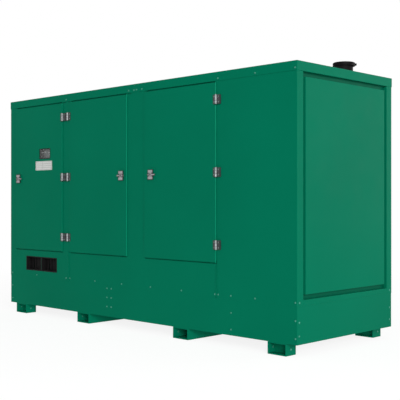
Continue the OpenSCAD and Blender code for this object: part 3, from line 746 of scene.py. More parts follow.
def window_trim():
    """A rubber gasket round the pane, and a black lining in the cut through the door, whose black also stands in
    for the shade inside the cut.
    """
    *_, at, size = extent("control_window")
    gasket = piece("window_gasket", "black_rubber", "left_door", bevel=0.8)
    gasket.rim(wall(-1, at.x, SKIN_Y, at.z), size.x, size.z, (5, 4), (-4, 3), 2)
    # The lining's black is partly painted shade inside the cut.
    lining = piece("window_lining", "black_rubber", "left_door")
    depth = SKIN_Y - DOOR_BACK_Y - 4.5
    lining.rim(wall(-1, at.x, DOOR_BACK_Y, at.z), size.x, size.z, (-0.4, 1), (-6, 3), depth)


def plate_cells():
    """Blank fields on the data plate: a border, ruled rows, one column, and a rivet at each corner."""
    low, high, at, size = extent("data_plate")
    margin, line, proud, edge = 5, 1.2, 0.3, 9
    width, height = size.x - 2 * margin, size.z - 2 * margin
    lines = piece("plate_lines", "plate_line", "left_door")
    lines.rim(facing((at.x, low.y, at.z)), width, height, (0, 2), (-2 * line, 1.5), proud)
    for row in (1, 2, 3):
        lines.slab(facing((at.x, low.y, low.z + margin + height * row / 4)), width - 4, line, proud)
    lines.slab(facing((low.x + size.x * 0.42, low.y, at.z)), line, height - 4, proud)
    rivets = piece("plate_rivets", "bolt_zinc", "left_door")
    for x in (low.x + edge, high.x - edge):
        for z in (low.z + edge, high.z - edge):
            rivets.lathe(facing((x, low.y, z)), [(0, 0), (2.6, 0), (2, 1), (0, 1.4)], 12)


window_trim()
plate_cells()


# ---- Roof and left end ----

def roof_details():
    """Cover strips over the joints of the lid, a collar and a clamp round the stack, and a filler hatch."""
    covers, screws = piece("roof_covers", "enclosure_paint", bevel=1), piece("roof_screws", "bolt_zinc")
    strip_w, strip_t, reach = 64, 3, LID_Y - 70
    for x in LID_JOINTS:
        covers.slab(facing((x, 0, ROOF_TOP), Z), strip_w, 2 * reach, strip_t)
        for y in spaced(-reach + 30, reach - 30, 8):
            for dx in (-22, 22):
                screw_head(screws, facing((x + dx, y, ROOF_TOP + strip_t), Z))
    hatch = facing((620, 0, ROOF_TOP), Z)
    covers.plate(hatch, 300, 260, 24, 6)
    for x, y in round_rect(260, 220, 1, 1)[::2]:
        screw_head(screws, shifted(hatch, x, y, 6))
    *_, at, _ = extent("exhaust_stack")
    collar = facing((at.x, at.y, ROOF_TOP), Z)
    covers.lathe(collar, [(74.5, 0), (105, 0), (105, 3), (82, 4), (78, 22), (74.5, 22)], 48, loop=True)
    for i in range(8):
        screw_head(screws, shifted(turned(collar, 45 * i + 22.5, 94), 0, 0, 3.4), 9)
    clamp = piece("stack_clamp", "black_paint", bevel=1)
    clamp.tube(collar, 70.2, 73, 30, 42, 48)
    clamp.slab(facing(collar.translation + Z * 36, X + Y), 26, 12, 12, 71)


def rain_cap_hinge():
    """The lug, the pin and the rim of the cap, with its hinge on the side away from the front."""
    low, _, at, size = extent("rain_cap")
    radius, away = size.x / 2, (X + Y).normalized()
    at.z = low.z
    shape = piece("rain_cap_hinge", "black_paint", bevel=0.8)
    shape.slab(facing(at + Z * 8, away), 20, 14, 12, radius - 2)
    shape.rod(facing(at + away * (radius + 6) + Z * 8, X - Y), 4, 34, -17, 16, edge=0.8)
    shape.tube(facing(at, Z), radius - 5, radius + 0.5, 0.5, -5, 48)


def inlet_mesh():
    """Wire mesh behind the louvre, in a frame, and a screwed trim round the louvre."""
    low, high, at, size = extent("air_inlet_louvre")
    width, height, x, pitch, radius = size.y, size.z, high.x + 3, 24, 1
    wires = piece("inlet_mesh", "black_paint")
    for y in spaced(low.y + pitch, high.y - pitch, round(width / pitch)):
        wires.rod(facing((x, y, low.z), Z), radius, height, sides=6)
    for z in spaced(low.z + pitch, high.z - pitch, round(height / pitch)):
        wires.rod(facing((x + 2 * radius, low.y, z), Y), radius, width, sides=6)
    wires.rim(facing((x, 0, at.z), X), width, height, (40, 4), (-8, 4), 5)
    face_x, proud = BOX["left_end_panel"][0].x + 2, 2
    trim, screws = piece("inlet_trim", "enclosure_paint", bevel=0.8), piece("inlet_screws", "bolt_zinc")
    trim.rim(facing((face_x, 0, at.z), -X), width, height, (44, 3), (-2, 2), proud)
    for z in spaced(low.z, high.z, 5):
        for y in (low.y - 11, high.y + 11):
            screw_head(screws, facing((face_x - proud, y, z), -X), 6)


roof_details()
rain_cap_hinge()
inlet_mesh()


# ---- Cable entries ----

def cable_entries():
    """Edge trim round the two entries, and a curtain of rubber strips in each of them."""
    low, high, at, size = extent("cable_entry_edging")
    bar, lip, proud = 10, 3.5, 1.5
    width, height = (size.x - bar) / 2, size.z
    strip_w, pitch, thick, edge = 21, 19, 2.5, 1
    trim, curtain = piece("entry_trim", "black_rubber", bevel=0.6), piece("entry_curtain", "curtain_rubber")
    heights = spaced(low.z + 6, high.z + 8, 7)
    for x0 in (low.x, high.x - width):
        trim.rim(wall(-1, x0 + width / 2, WALL_Y, at.z), width, height, (2 * lip, 4), (-10, 3), proud)
        inset = strip_w / 2 - edge
        for i, x in enumerate(spaced(x0 + inset, x0 + width - inset, round(width / pitch))):
            y0, bow = -WALL_Y + 34 + i % 2 * 3.2, 2 * math.sin(2.3 * i + 1)
            left, right = x - strip_w / 2, x + strip_w / 2
            sections = [(y0 + bow * math.cos(1.5 * k / 6), z) for k, z in enumerate(heights)]
            curtain.loft([[(left, y, z), (right, y, z), (right, y + thick, z), (left, y + thick, z)]
                          for y, z in sections])


cable_entries()


# ---- The machine's measures ----

# The alternator's barrel, and the height of the shaft that it shares with the engine
BARREL_X0, BARREL_X1 = BOX["alternator"][0].x, BOX["alternator"][1].x
BARREL_R = 270
SHAFT_Z = BOX["alternator"][1].z - 480
# The engine's block, its head, the bell at its back, the standing exhaust pipe, the fan and the valve pairs
BLOCK_X0, BLOCK_X1 = BARREL_X1 + 70, BOX["engine"][1].x - 60
BLOCK_Y, HEAD_Y = 200, 133
BLOCK_Z0, BLOCK_Z1 = SHAFT_Z - 150, SHAFT_Z + 400
HEAD_X0, HEAD_X1 = BLOCK_X0 + 40, BLOCK_X1 - 60
HEAD_TOP = BOX["engine"][1].z
BELL_X1 = BLOCK_X0 + 60
PIPE_X = BLOCK_X1 - 200
FAN_Z = SHAFT_Z + 150
CYLINDERS = spaced(HEAD_X0 + 60, PIPE_X - 190, 4)
# The cabinet's front and foot, and the radiator's face towards the fan
CABINET_Y = BOX["control_cabinet"][0].y
CABINET_Z0 = BASE_TOP + 400
CORE_X = BOX["radiator"][1].x - 120


# ---- Control cabinet ----

def cabinet_front():
    """The cabinet's door with its hinges and locks."""
    low, high, at, size = extent("control_cabinet")
    width, height = size.x, high.z - CABINET_Z0
    place = facing((at.x, CABINET_Y, (CABINET_Z0 + high.z) / 2))
    door, steel = piece("cabinet_door", "cabinet_paint", bevel=1), piece("cabinet_hardware", "bolt_zinc")
    door.plate(place, width - 16, height - 16, 6, 3)
    door.rim(place, width, height, (-50, 5), (-60, 4), 4.2)
    for z in spaced(CABINET_Z0 + 110, high.z - 110, 3):
        steel.rod(facing((low.x + 5, CABINET_Y - 4, z), Z), 4, 60, -30, 12, edge=0.8)
    for z in (CABINET_Z0 + 180, high.z - 180):
        lock = facing((high.x - 26, CABINET_Y - 3, z))
        steel.lathe(lock, [(0, 0), (11, 0), (10, 2.4), (5, 2.4), (5, 1.2), (0, 1.2)], 20)
        steel.slab(lock, 3, 8, 2.2)


def display_module():
    """The controller behind the window: a bezel, a blank screen whose glow is partly its backlight and partly
    painted light, keys and lamps.
    """
    place = facing((-1130, CABINET_Y - 3, 1375))
    bezel, screen = piece("display_bezel", "black_rubber", bevel=1), piece("display_screen", "screen_grey_glow")
    keys, lamps = piece("display_keys", "dark_lining", bevel=0.5), piece("display_lamps", "signal_amber")
    bezel.rim(place, 150, 100, (0, 8), (-36, 3), 6)
    bezel.slab(place, 116, 66, 2)
    screen.slab(place, 112, 62, 1, 2)
    for x in spaced(-44, 44, 5):
        keys.plate(shifted(place, x, -41), 15, 9, 3, 1.6, 6)
    for z in spaced(-20, 20, 3):
        keys.plate(shifted(place, 66, z), 10, 10, 4, 1.6, 6)
        lamps.lathe(shifted(place, -66, z), [(0, 6), (3.4, 6), (2.8, 7.6), (0, 8.2)], 12)


def cabinet_controls():
    """Pilot lamps and a key switch under the display, and a stop button on the cabinet's side."""
    low, high = BOX["control_cabinet"]
    rims, lamps = piece("control_rims", "handle_alloy", bevel=0.4), piece("pilot_lamps", "signal_green")
    for x in spaced(-1210, -1050, 4):
        lamp = facing((x, CABINET_Y - 3, 1240))
        rims.lathe(lamp, [(8, 0), (14, 0), (14, 2), (11, 3.4), (8, 3.4)], loop=True)
        lamps.lathe(lamp, [(0, 0), (8.5, 0), (8.5, 3), (6, 5.4), (0, 6.4)])
    switch = facing((-1130, CABINET_Y - 3, 1150))
    rims.lathe(switch, [(0, 0), (17, 0), (17, 2.4), (12, 4), (0, 4)], 28)
    piece("key_switch_slot", "black_rubber").slab(switch, 2.4, 13, 5, 1)
    stop = facing((high.x, (low.y + high.y) / 2, 1320), X)
    rims.lathe(stop, [(0, 0), (34, 0), (34, 16), (15, 19), (15, 27), (0, 27)], 32)
    piece("stop_button", "signal_red").lathe(
        stop, [(0, 27), (20, 27), (20, 33), (15, 39), (8, 41), (0, 41.5)], 32)


def cable_glands():
    """Blank glands under the cabinet and on the alternator's terminal box."""
    low, high = BOX["control_cabinet"]
    places = [facing((x, -340, CABINET_Z0), -Z) for x in spaced(low.x + 80, high.x - 80, 5)]
    places += [facing((BARREL_X0 + 60, y, SHAFT_Z + 380), -X) for y in spaced(-90, 90, 3)]
    shape = piece("cable_glands", "black_rubber", bevel=0.6)
    for place in places:
        shape.prism(place, arc((0, 0), 20, 0, 360, 6), 8)
        shape.lathe(place, [(0, 8), (14, 8), (14, 20), (17, 22), (15, 34), (8, 38), (8, 30), (0, 30)], 20)


# ---- Alternator ----

def alternator_casing():
    """Ribs along the barrel, a band round each end, and lifting lugs."""
    length, rib_pitch, bare_half = BARREL_X1 - BARREL_X0, 8, 36
    rib_angles = [angle for angle in range(0, 360, rib_pitch) if abs(angle - 90) > bare_half]
    axis, back = facing((BARREL_X0, 0, SHAFT_Z), X), facing((BARREL_X0, 0, SHAFT_Z), -X)
    shape = piece("alternator_casing", "alternator_paint", bevel=1.5)
    shape.ribs(axis, rib_angles, BARREL_R + 2, 10, 6, length - 110, 50)
    for start in (0, length - 40):
        shape.tube(axis, BARREL_R - 2, BARREL_R + 12, start, start + 30, 72)
    for x in (BARREL_X0 + 16, BARREL_X1 - 24):
        shape.rim(facing((x, 0, SHAFT_Z + BARREL_R + 10), X), 70, 70, (0, 30), (-40, 14), 16, -8)
    bolt_circle(piece("alternator_bolts", "bolt_zinc"), back, 9, BARREL_R + 5, 15, 30)


def alternator_end():
    """The far end's cover: a dished plate, its louvre bars over a dark ring, and the bearing cap."""
    end = facing((BARREL_X0, 0, SHAFT_Z), -X)
    cover = piece("alternator_end_cover", "alternator_paint", bevel=1)
    cover.lathe(end, [(0, 0), (258, 0), (258, 12), (248, 20), (240, 20), (236, 8), (136, 8), (130, 22),
                      (96, 26), (88, 40), (0, 44)], 64)
    piece("alternator_end_gap", "black_rubber").tube(end, 137, 235, 8.2, 9, 64)
    cover.ribs(end, [angle for angle in range(0, 360, 6) if angle % 90], 186, 104, 5, 14, 6)
    cover.ribs(end, range(0, 360, 90), 186, 104, 22, 14, 6)


def terminal_box():
    """Lids on the front, back and top of the terminal box, and a blank plate on the front lid."""
    x0, x1, half_y = BARREL_X0 + 60, BARREL_X0 + 380, 150
    z0, z1 = SHAFT_Z + 278, BOX["alternator"][1].z
    x, z, lid_t, edge = (x0 + x1) / 2, (z0 + z1) / 2, 4, 18
    lids = piece("terminal_box_lids", "alternator_paint", bevel=1.2)
    for side in SIDES:
        place = wall(side, x, half_y, z)
        lids.plate(place, x1 - x0 - 12, z1 - z0 - 12, 8, lid_t)
        for dx in spaced(-136, 136, 3):
            for dz in (z - z0 - edge, z0 - z + edge):
                screw_head(piece("terminal_box_screws", "bolt_zinc"), shifted(place, dx, dz, lid_t))
    lids.plate(facing((x, 0, z1), Z), x1 - x0 + 12, 2 * half_y + 12, 10, 6, -2)
    piece("terminal_box_plate", "plate_white").plate(wall(-1, x, half_y + lid_t, z), 110, 70, 4, 0.8)


def machine_mounts():
    """The bolts of the machine's feet, each with a big washer, and the rubber pads beside them."""
    low, high = BOX["skid_rails"]
    pad_t = 18
    pads, bolts = piece("machine_pads", "black_rubber", bevel=1.5), piece("machine_bolts", "bolt_zinc")
    for side in SIDES:
        for x in (BARREL_X0 + 60, BARREL_X1 - 60, BLOCK_X0 + 120, BLOCK_X1 - 120):
            for way in (-1, 1):
                place = facing((x + way * 66, side * (high.y - 30), high.z), Z)
                pads.plate(place, 44, 52, 6, pad_t)
                hex_bolt(bolts, shifted(place, 0, 0, pad_t), 16)
        for x in spaced(low.x + 80, high.x - 80, 7):
            hex_bolt(bolts, wall(side, x, high.y, BASE_TOP + 40), 12)


# ---- Engine ----

def engine_casting():
    """Ribs, rails and core plugs on the block, the joint rails of head and sump, and the bell's flange."""
    shape, plugs = piece("engine_casting", "engine_paint", bevel=2), piece("engine_plugs", "bolt_zinc")
    for side in SIDES:
        for x in spaced(BELL_X1 + 50, BLOCK_X1 - 12, 8):
            middle_z, rib_h = (BLOCK_Z0 + BLOCK_Z1) / 2, BLOCK_Z1 - BLOCK_Z0 - 60
            shape.slab(wall(side, x, BLOCK_Y, middle_z), 12, rib_h, 12, -2)
        for z in (BLOCK_Z0 + 12, SHAFT_Z + 60, BLOCK_Z1 - 12):
            shape.slab(wall(side, (BELL_X1 + BLOCK_X1) / 2, BLOCK_Y, z), BLOCK_X1 - BELL_X1, 20, 16, -2)
        for x in spaced(BELL_X1 + 100, BLOCK_X1 - 60, 7):
            plugs.lathe(wall(side, x, BLOCK_Y, SHAFT_Z + 320),
                        [(0, -1), (24, -1), (24, 5), (20, 5), (18, 2), (0, 2)], 20)
        for z in (BLOCK_Z1 + 12, HEAD_TOP - 12):
            shape.slab(wall(side, (HEAD_X0 + HEAD_X1) / 2, HEAD_Y, z), HEAD_X1 - HEAD_X0, 16, 12, -2)
    shape.tube(facing((BARREL_X1, 0, SHAFT_Z), X), BARREL_R - 2, BARREL_R + 26, -10, 14, 72)
    bolt_circle(plugs, facing((BARREL_X1 - 10, 0, SHAFT_Z), -X), 9, BARREL_R + 15, 0, 20)
    for x in (HEAD_X0 + 14, HEAD_X1 - 14):
        lug = facing((x, 90, HEAD_TOP + 26), X)
        shape.frame(lug, round_rect(60, 70, 26), round_rect(28, 28, 13), 12, -6)


def rocker_covers():
    """One ribbed cover for each pair of valves, held by two bolts, and the oil filler."""
    covers, bolts = piece("rocker_covers", "engine_paint", bevel=3), piece("rocker_bolts", "bolt_zinc")
    cover_h = 68
    for x in CYLINDERS:
        place = facing((x, 0, HEAD_TOP), Z)
        covers.plate(place, 94, 190, 16, 10)
        covers.plate(place, 82, 176, 22, cover_h - 10, 10)
        for dx in spaced(-24, 24, 3):
            covers.slab(shifted(place, dx, 0, cover_h), 6, 130, 5, -1)
        for y in (-52, 52):
            hex_bolt(bolts, shifted(place, 0, y, cover_h + 4), 11)
    filler = facing((CYLINDERS[0], 0, HEAD_TOP + cover_h), Z)
    cap = piece("oil_filler_cap", "black_rubber", bevel=1.5)
    cap.lathe(filler, [(0, 0), (24, 0), (24, 16), (30, 18), (30, 34), (24, 38), (0, 38)])
    cap.slab(filler, 52, 9, 12, 36)


def exhaust_manifold():
    """A log manifold along the head, its runners, and the elbow into the standing pipe with its bellows."""
    y, z, top = -HEAD_Y - 54, HEAD_TOP - 72, HEAD_TOP + 90
    hot = piece("exhaust_manifold", "exhaust_steel", bevel=1)
    bellows, nuts = piece("exhaust_bellows", "handle_alloy"), piece("exhaust_nuts", "bolt_zinc")
    log = [(HEAD_X0 + 20, y, z), (PIPE_X, y, z), (PIPE_X, y, top), (PIPE_X, 0, top)]
    hot.pipe(rounded_route(log, 60, 8), 38, 20)
    flange_t = 12
    for x in CYLINDERS:
        port = wall(-1, x, HEAD_Y, z)
        hot.rod(port, 27, 54, sides=16)
        hot.plate(port, 92, 66, 14, flange_t)
        for dx in (-36, 36):
            hex_bolt(nuts, shifted(port, dx, 0, flange_t), 9)
    pipe = facing((PIPE_X, 0, HEAD_TOP), Z)
    for level in (0, 150, 250):
        hot.tube(pipe, 49, 80, level, level + flange_t)
        bolt_circle(nuts, pipe, 9, 68, 45, 90, level + flange_t)
    waves, root = 9, 50
    profile = [(root + (9 if i % 2 else 2), z) for i, z in enumerate(spaced(162, 250, 2 * waves + 1))]
    bellows.lathe(pipe, [(root, 162), *profile, (root, 250)], 40)


def air_intake():
    """The bands and lid of the air cleaner, its moulded hose, and the intake manifold."""
    y, z, r = BLOCK_Y + 90, BLOCK_Z1 - 40, 95
    x0, x1 = BLOCK_X0 + 260, BLOCK_X0 + 620
    bands, hose = piece("air_cleaner_bands", "black_paint", bevel=1), piece("air_hose", "black_rubber")
    casting, clips = piece("intake_manifold", "engine_paint", bevel=6), piece("air_clips", "bolt_zinc")
    axis = facing((x0, y, z), X)
    for start in (20, 150, 300):
        bands.tube(axis, r - 1, r + 5, start, start + 24, 48)
    bands.lathe(facing((x1, y, z), X), [(r - 8, 0), (r - 8, 10), (r - 26, 16), (r - 34, 8), (0, 8)], 48)
    clips.ribs(axis, (30, 150, 270), r + 6, 6, 16, 44, 290)
    bend = [(x0 + 2, y, z), (x0 - 100, y, z), (x0 - 100, y, z + 100), (x0 - 100, HEAD_Y + 20, z + 100)]
    hose.pipe(rounded_route(bend, 40, 8), 33, 20)
    for place in (facing((x0, y, z), -X), facing((x0 - 100, HEAD_Y + 52, z + 100), Y)):
        clips.tube(place, 33, 36, 6, 18)
    first, last = CYLINDERS[0], CYLINDERS[-1]
    casting.plate(wall(1, (first + last) / 2, HEAD_Y, BLOCK_Z1 + 62), last - first + 90, 76, 20, 50)


def fuel_lines():
    """The fuel rail behind the covers, with a pipe to each of them."""
    y, z, pipe_top = HEAD_Y + 22, HEAD_TOP - 8, HEAD_TOP + 52
    shape = piece("fuel_rail", "bolt_zinc")
    length = CYLINDERS[-1] - CYLINDERS[0] + 100
    shape.rod(facing((CYLINDERS[0] - 50, y, z), X), 11, length, sides=16, edge=2)
    for x in CYLINDERS:
        shape.pipe(rounded_route([(x, y, z), (x, y, pipe_top), (x, 86, pipe_top)], 20, 5), 3.5, 8)
        shape.prism(facing((x, y, z + 8), Z), arc((0, 0), 8, 0, 360, 6), 12)


def canister(shape, place, radius, length):
    """A spin-on filter that hangs from its head, with a crimped rim and a grip at its end."""
    shape.lathe(place, [(0, 0), (radius * 0.9, 0), (radius * 1.04, 4), (radius * 1.04, 12), (radius, 16),
                        (radius, length - 26), (radius * 0.96, length - 10), (radius * 0.8, length),
                        (0, length)], 36)
    shape.ribs(place, range(0, 360, 30), radius * 0.93, radius * 0.16, 5, 20, length - 24)


def service_side():
    """Oil and fuel filters on their heads, the starter, and the dipstick, on the front of the block."""
    heads = piece("starter_and_heads", "engine_paint", bevel=2)
    oil, fuel = piece("oil_filters", "black_paint"), piece("fuel_filters", "cabinet_paint")
    steel = piece("engine_fittings", "bolt_zinc")
    head_z, head_h = SHAFT_Z + 250, 46
    for filters, x0, x1, out, reach, radius, length in ((oil, 380, 500, 70, 130, 52, 190),
                                                        (fuel, 600, 690, 56, 104, 38, 150)):
        x0, x1 = BLOCK_X0 + x0, BLOCK_X0 + x1
        heads.slab(wall(-1, (x0 + x1) / 2, BLOCK_Y, head_z), x1 - x0 + 2 * radius, head_h, reach)
        for x in (x0, x1):
            y = -BLOCK_Y - out
            heads.rod(facing((x, y, head_z - head_h / 2), -Z), radius * 0.7, 10, sides=20)
            hex_bolt(steel, facing((x, y, head_z + head_h / 2), Z), 14)
            canister(filters, facing((x, y, head_z - 32), -Z), radius, length)
    starter = facing((BELL_X1, -BLOCK_Y - 56, SHAFT_Z + 50), X)
    heads.lathe(starter, [(0, 0), (60, 0), (60, 16), (44, 24), (46, 60), (46, 180), (38, 192), (16, 196),
                          (0, 196)], 32)
    solenoid = shifted(starter, 20, 72)
    heads.lathe(solenoid, [(0, 20), (25, 20), (27, 30), (27, 130), (22, 138), (0, 138)])
    steel.rod(solenoid, 6, 22, 138, 12)
    x, y = BLOCK_X0 + 300, -BLOCK_Y - 30
    stick = [(x, y + 22, BLOCK_Z0 + 50), (x, y, BLOCK_Z0 + 200), (x - 20, y, BLOCK_Z1 - 20)]
    steel.pipe(rounded_route(stick, 60, 5), 6, 10)
    steel.lathe(facing((x - 20, y, BLOCK_Z1 - 2)), arc((14, 0), 3, 0, 360, 8), loop=True)


def belt_outline(wheels, extra=0.0, steps=90):
    """The outline of a belt drawn tight round wheels, each a centre and a radius."""
    points = []
    for ux, uy in arc((0, 0), 1, 0, 360, steps):
        x, y, r = max(wheels, key=lambda wheel: wheel[0] * ux + wheel[1] * uy + wheel[2])
        points.append((x + (r + extra) * ux, y + (r + extra) * uy))
    return points


def fan_drive():
    """Pulleys, the ribbed belt round them, and the charging alternator."""
    face = facing((BLOCK_X1, 0, SHAFT_Z), X)
    wheels = [(0, 0, 92), (0, FAN_Z - SHAFT_Z, 86), (-150, 240, 38)]
    pulleys, belt = piece("pulleys", "bolt_zinc"), piece("fan_belt", "black_rubber")
    casing = piece("charging_alternator", "handle_alloy", bevel=1.5)
    for x, y, r in wheels:
        pulleys.lathe(shifted(face, x, y), [
            (0, 6), (r * 0.4, 6), (r * 0.4, 14), (r + 3, 14), (r + 3, 17), (r - 2, 19), (r - 2, 41),
            (r + 3, 43), (r + 3, 46), (r * 0.6, 46), (r * 0.5, 36), (0, 36)], 48)
    belt.frame(face, belt_outline(wheels, 4), belt_outline(wheels), 20, 20)
    charger = shifted(face, *wheels[2][:2])
    casing.lathe(charger, [(0, -130), (50, -130), (64, -112), (64, -24), (50, -8), (0, -4)], 36)
    casing.ribs(charger, range(0, 360, 20), 62, 8, 5, 70, -104)


def cooling_fan():
    """Nine blades on a hub, twisted less and wider towards their tips."""
    shape = piece("cooling_fan", "black_paint", bevel=0.8)
    hub = facing((BLOCK_X1 + 60, 0, FAN_Z), X)
    shape.lathe(hub, [(0, 0), (84, 0), (84, 50), (70, 56), (0, 56)], 40)
    for angle in range(0, 360, 40):
        blade, sections = shifted(turned(hub, angle, 76), 0, 0, 28), []
        for k, out in enumerate(spaced(0, 230, 6)):
            twist = Matrix.Rotation(math.radians(38 - 2.4 * k), 4, "X")
            half_w, half_t = (78 + 8 * k) / 2, (5 - 0.5 * k) / 2
            corners = ((-half_w, -half_t), (half_w, -half_t), (half_w, half_t), (-half_w, half_t))
            sections.append([blade @ twist @ Vector((out, y, z)) for y, z in corners])
        shape.loft(sections)


# ---- Radiator and hoses ----

def radiator_details():
    """Tanks, side channels, the finned core on both faces, and the filler."""
    low, high, at, size = extent("radiator")
    tank, width = 110, size.y
    core_h = size.z - 2 * tank
    tanks = piece("radiator_tanks", "radiator_black", bevel=3)
    fins = piece("radiator_core", "radiator_black")
    for x, out in ((CORE_X, -X), (high.x, X)):
        for z in (low.z + tank / 2, high.z - tank / 2):
            tanks.plate(facing((x, 0, z), out), width - 8, tank - 8, 30, 14)
        for y in (low.y + 24, high.y - 24):
            tanks.slab(facing((x, y, at.z), out), 44, core_h, 12)
        for y in spaced(low.y + 60, high.y - 60, 56):
            fins.slab(facing((x, y, at.z), out), 4, core_h, 5)
        for z in spaced(low.z + tank + 10, high.z - tank - 10, 60):
            fins.slab(facing((x, 0, z), out), width - 100, 1.6, 3)
    neck = facing(((CORE_X + high.x) / 2, 220, high.z), Z)
    cap = piece("radiator_cap", "bolt_zinc")
    cap.lathe(neck, [(0, 0), (30, 0), (28, 24), (38, 26), (38, 36), (30, 42), (0, 43)], 32)
    cap.slab(neck, 76, 12, 8, 36)


def coolant_hoses():
    """The moulded hoses between engine and radiator, with their clips, and the thermostat housing."""
    radius, upper_z = 27, BOX["radiator"][1].z - 60
    x, y = HEAD_X1 - 40, -60
    upper = [(x, y, HEAD_TOP + 20), (x, y, upper_z), (CORE_X, y, upper_z)]
    lower = [(BLOCK_X1, 130, SHAFT_Z - 80), (BLOCK_X1 + 70, 130, SHAFT_Z - 80),
             (CORE_X - 100, 360, BASE_TOP + 120), (CORE_X, 360, BASE_TOP + 120)]
    hoses, clips = piece("coolant_hoses", "black_rubber"), piece("hose_clips", "bolt_zinc")
    housing = piece("hose_necks", "engine_paint", bevel=1)
    for route in (rounded_route(upper, 50, 10), rounded_route(lower, 50, 10)):
        hoses.pipe(route, radius, 20)
        for end, near in ((route[0], route[1]), (route[-1], route[-2])):
            mouth = facing(end, near - end)
            clips.tube(mouth, radius, radius + 3, 14, 28)
            housing.lathe(mouth, [(0, -6), (40, -6), (40, 6), (28, 12), (0, 12)], 28)
    housing.plate(facing((x, y, HEAD_TOP), Z), 84, 84, 16, 16)


# ---- Silencer ----

def silencer_details():
    """Dished ends, bands and straps up to the roof, and the bolts of the outlet flange."""
    high = BOX["silencer"][1]
    x, z, r = BOX["exhaust_stack"][0].x + 70, high.z - 145, 125
    shell = piece("silencer_ends", "exhaust_steel")
    straps, bolts = piece("silencer_straps", "black_paint", bevel=0.8), piece("silencer_bolts", "bolt_zinc")
    for side in SIDES:
        shell.lathe(wall(side, x, high.y, z), [(r - 1, -16), (r + 4, -16), (r + 4, 0), (r - 6, 4),
                                               (r * 0.7, 16), (r * 0.35, 24), (0, 26)], 56)
        strap_y = side * (high.y - 140)
        straps.tube(facing((x, strap_y, z), Y), r, r + 4, -20, 20, 56)
        for way in (-1, 1):
            foot = facing((x + way * (r + 12), strap_y, z), Z)
            straps.slab(foot, 5, 40, CEILING - z)
            straps.slab(foot, 26, 40, 5, -2)
            hex_bolt(bolts, facing((x + way * (r + 6), strap_y, z + 3), Z), 9)
    bolt_circle(bolts, facing((x, 0, high.z), Z), 8, 81, 30, 60)


# ---- Tank top, batteries and linings ----

def tank_top():
    """An inspection cover, the filler with its cap, and a level gauge on the tank."""
    covers = piece("tank_covers", "tank_paint", bevel=1)
    cap = piece("tank_cap_and_gauge", "black_rubber", bevel=0.8)
    place = facing((-620, -400, BASE_TOP), Z)
    covers.plate(place, 260, 160, 20, 5)
    for x, y in round_rect(230, 130, 10, 1):
        hex_bolt(piece("tank_bolts", "bolt_zinc"), shifted(place, x, y, 5), 8)
    filler = facing((1150, -360, BASE_TOP), Z)
    covers.lathe(filler, [(0, 0), (62, 0), (62, 6), (36, 8), (36, 110), (0, 110)], 36)
    cap.lathe(filler, [(0, 110), (46, 110), (48, 116), (46, 138), (38, 144), (0, 144)], 36)
    cap.ribs(filler, range(0, 360, 20), 47, 5, 6, 20, 116)
    cap.lathe(facing((980, -360, BASE_TOP), Z),
              [(0, 0), (34, 0), (34, 10), (28, 12), (28, 30), (24, 34), (0, 34)], 32)


def batteries():
    """Two starter batteries in a tray beside the skid, held by a bar."""
    cases, plugs = piece("battery_cases", "black_rubber", bevel=2), piece("battery_plugs", "dark_lining")
    posts, tray = piece("battery_posts", "handle_alloy"), piece("battery_tray", "black_paint", bevel=1)
    length, width, height, top = 270, 130, 190, 206
    for x in (120, 410):
        place = facing((x, -405, BASE_TOP + 4), Z)
        cases.plate(place, length, width, 8, height)
        cases.plate(place, length + 6, width + 6, 9, 22, height - 6)
        for dx in spaced(-90, 90, 6):
            plugs.lathe(shifted(place, dx, 12, top), [(0, 0), (12, 0), (12, 5), (9, 7), (0, 7)], 16)
        for dx in (-110, 110):
            posts.lathe(shifted(place, dx, -35, top), [(0, 0), (13, 0), (9, 4), (8, 20), (0, 20)], 20)
        tray.rim(place, length, width, (18, 6), (8, 6), 50, -4)
        tray.slab(place, 30, width + 14, 3, top)


def wall_linings():
    """Foam under the roof and on the inner faces of the fixed walls."""
    shape = piece("wall_foam", "sound_foam", smooth_angle=60)
    back, peak = 3, 16
    wall_in, end_in = WALL_Y - 40, BOX["right_end_panel"][0].x
    shape.foam(facing((-260, 0, CEILING), -Z), 2420, 920, back, peak)
    for side in SIDES:
        for x, z, width, height in (
                ((RIGHT_SEAM_X + end_in) / 2 + 20, 1180, 520, 1140),
                ((SEAM_X + RIGHT_SEAM_X) / 2, (BASE_TOP + SEAM_TOP) / 2 - 10,
                 RIGHT_SEAM_X - SEAM_X - 80, SEAM_TOP - BASE_TOP - 60)):
            shape.foam(facing((x, side * wall_in, z), -Y * side), width, height, back, peak)
    shape.foam(facing((end_in, 0, 1050), -X), 860, 1300, back, peak)


cabinet_front()
display_module()
cabinet_controls()
cable_glands()
alternator_casing()
alternator_end()
terminal_box()
machine_mounts()
engine_casting()
rocker_covers()
exhaust_manifold()
air_intake()
fuel_lines()
service_side()
fan_drive()
cooling_fan()
radiator_details()
coolant_hoses()
silencer_details()
tank_top()
batteries()
wall_linings()

for name, shape in SHAPES.items():
    shape.make(name)


# ---- Floor, light and camera ----

def camera_ray_factor(tree):
    """1 for camera, glossy and transmission rays, which see the white surroundings."""
    path = add_node(tree, "LightPath")
    total = path.outputs["Is Camera Ray"]
    for other in ("Is Glossy Ray", "Is Transmission Ray"):
        total = add_node(tree, "Math", {0: total, 1: path.outputs[other]}, operation="MAXIMUM").outputs[0]
    return total


def mixed(tree, factor, first, second):
    return add_node(tree, "MixShader", {0: factor, 1: first, 2: second}).outputs[0]


def make_world():
    """White to look at, and a weak white light on the set."""
    world = bpy.data.worlds.new("studio")
    scene.world = world
    world.use_nodes = True
    tree = world.node_tree
    light, seen = (add_node(tree, "Background", {"Color": (1, 1, 1, 1), "Strength": strength}).outputs[0]
                   for strength in (0.27, 1.0))
    plug(tree, tree.nodes["World Output"], {"Surface": mixed(tree, camera_ray_factor(tree), light, seen)})


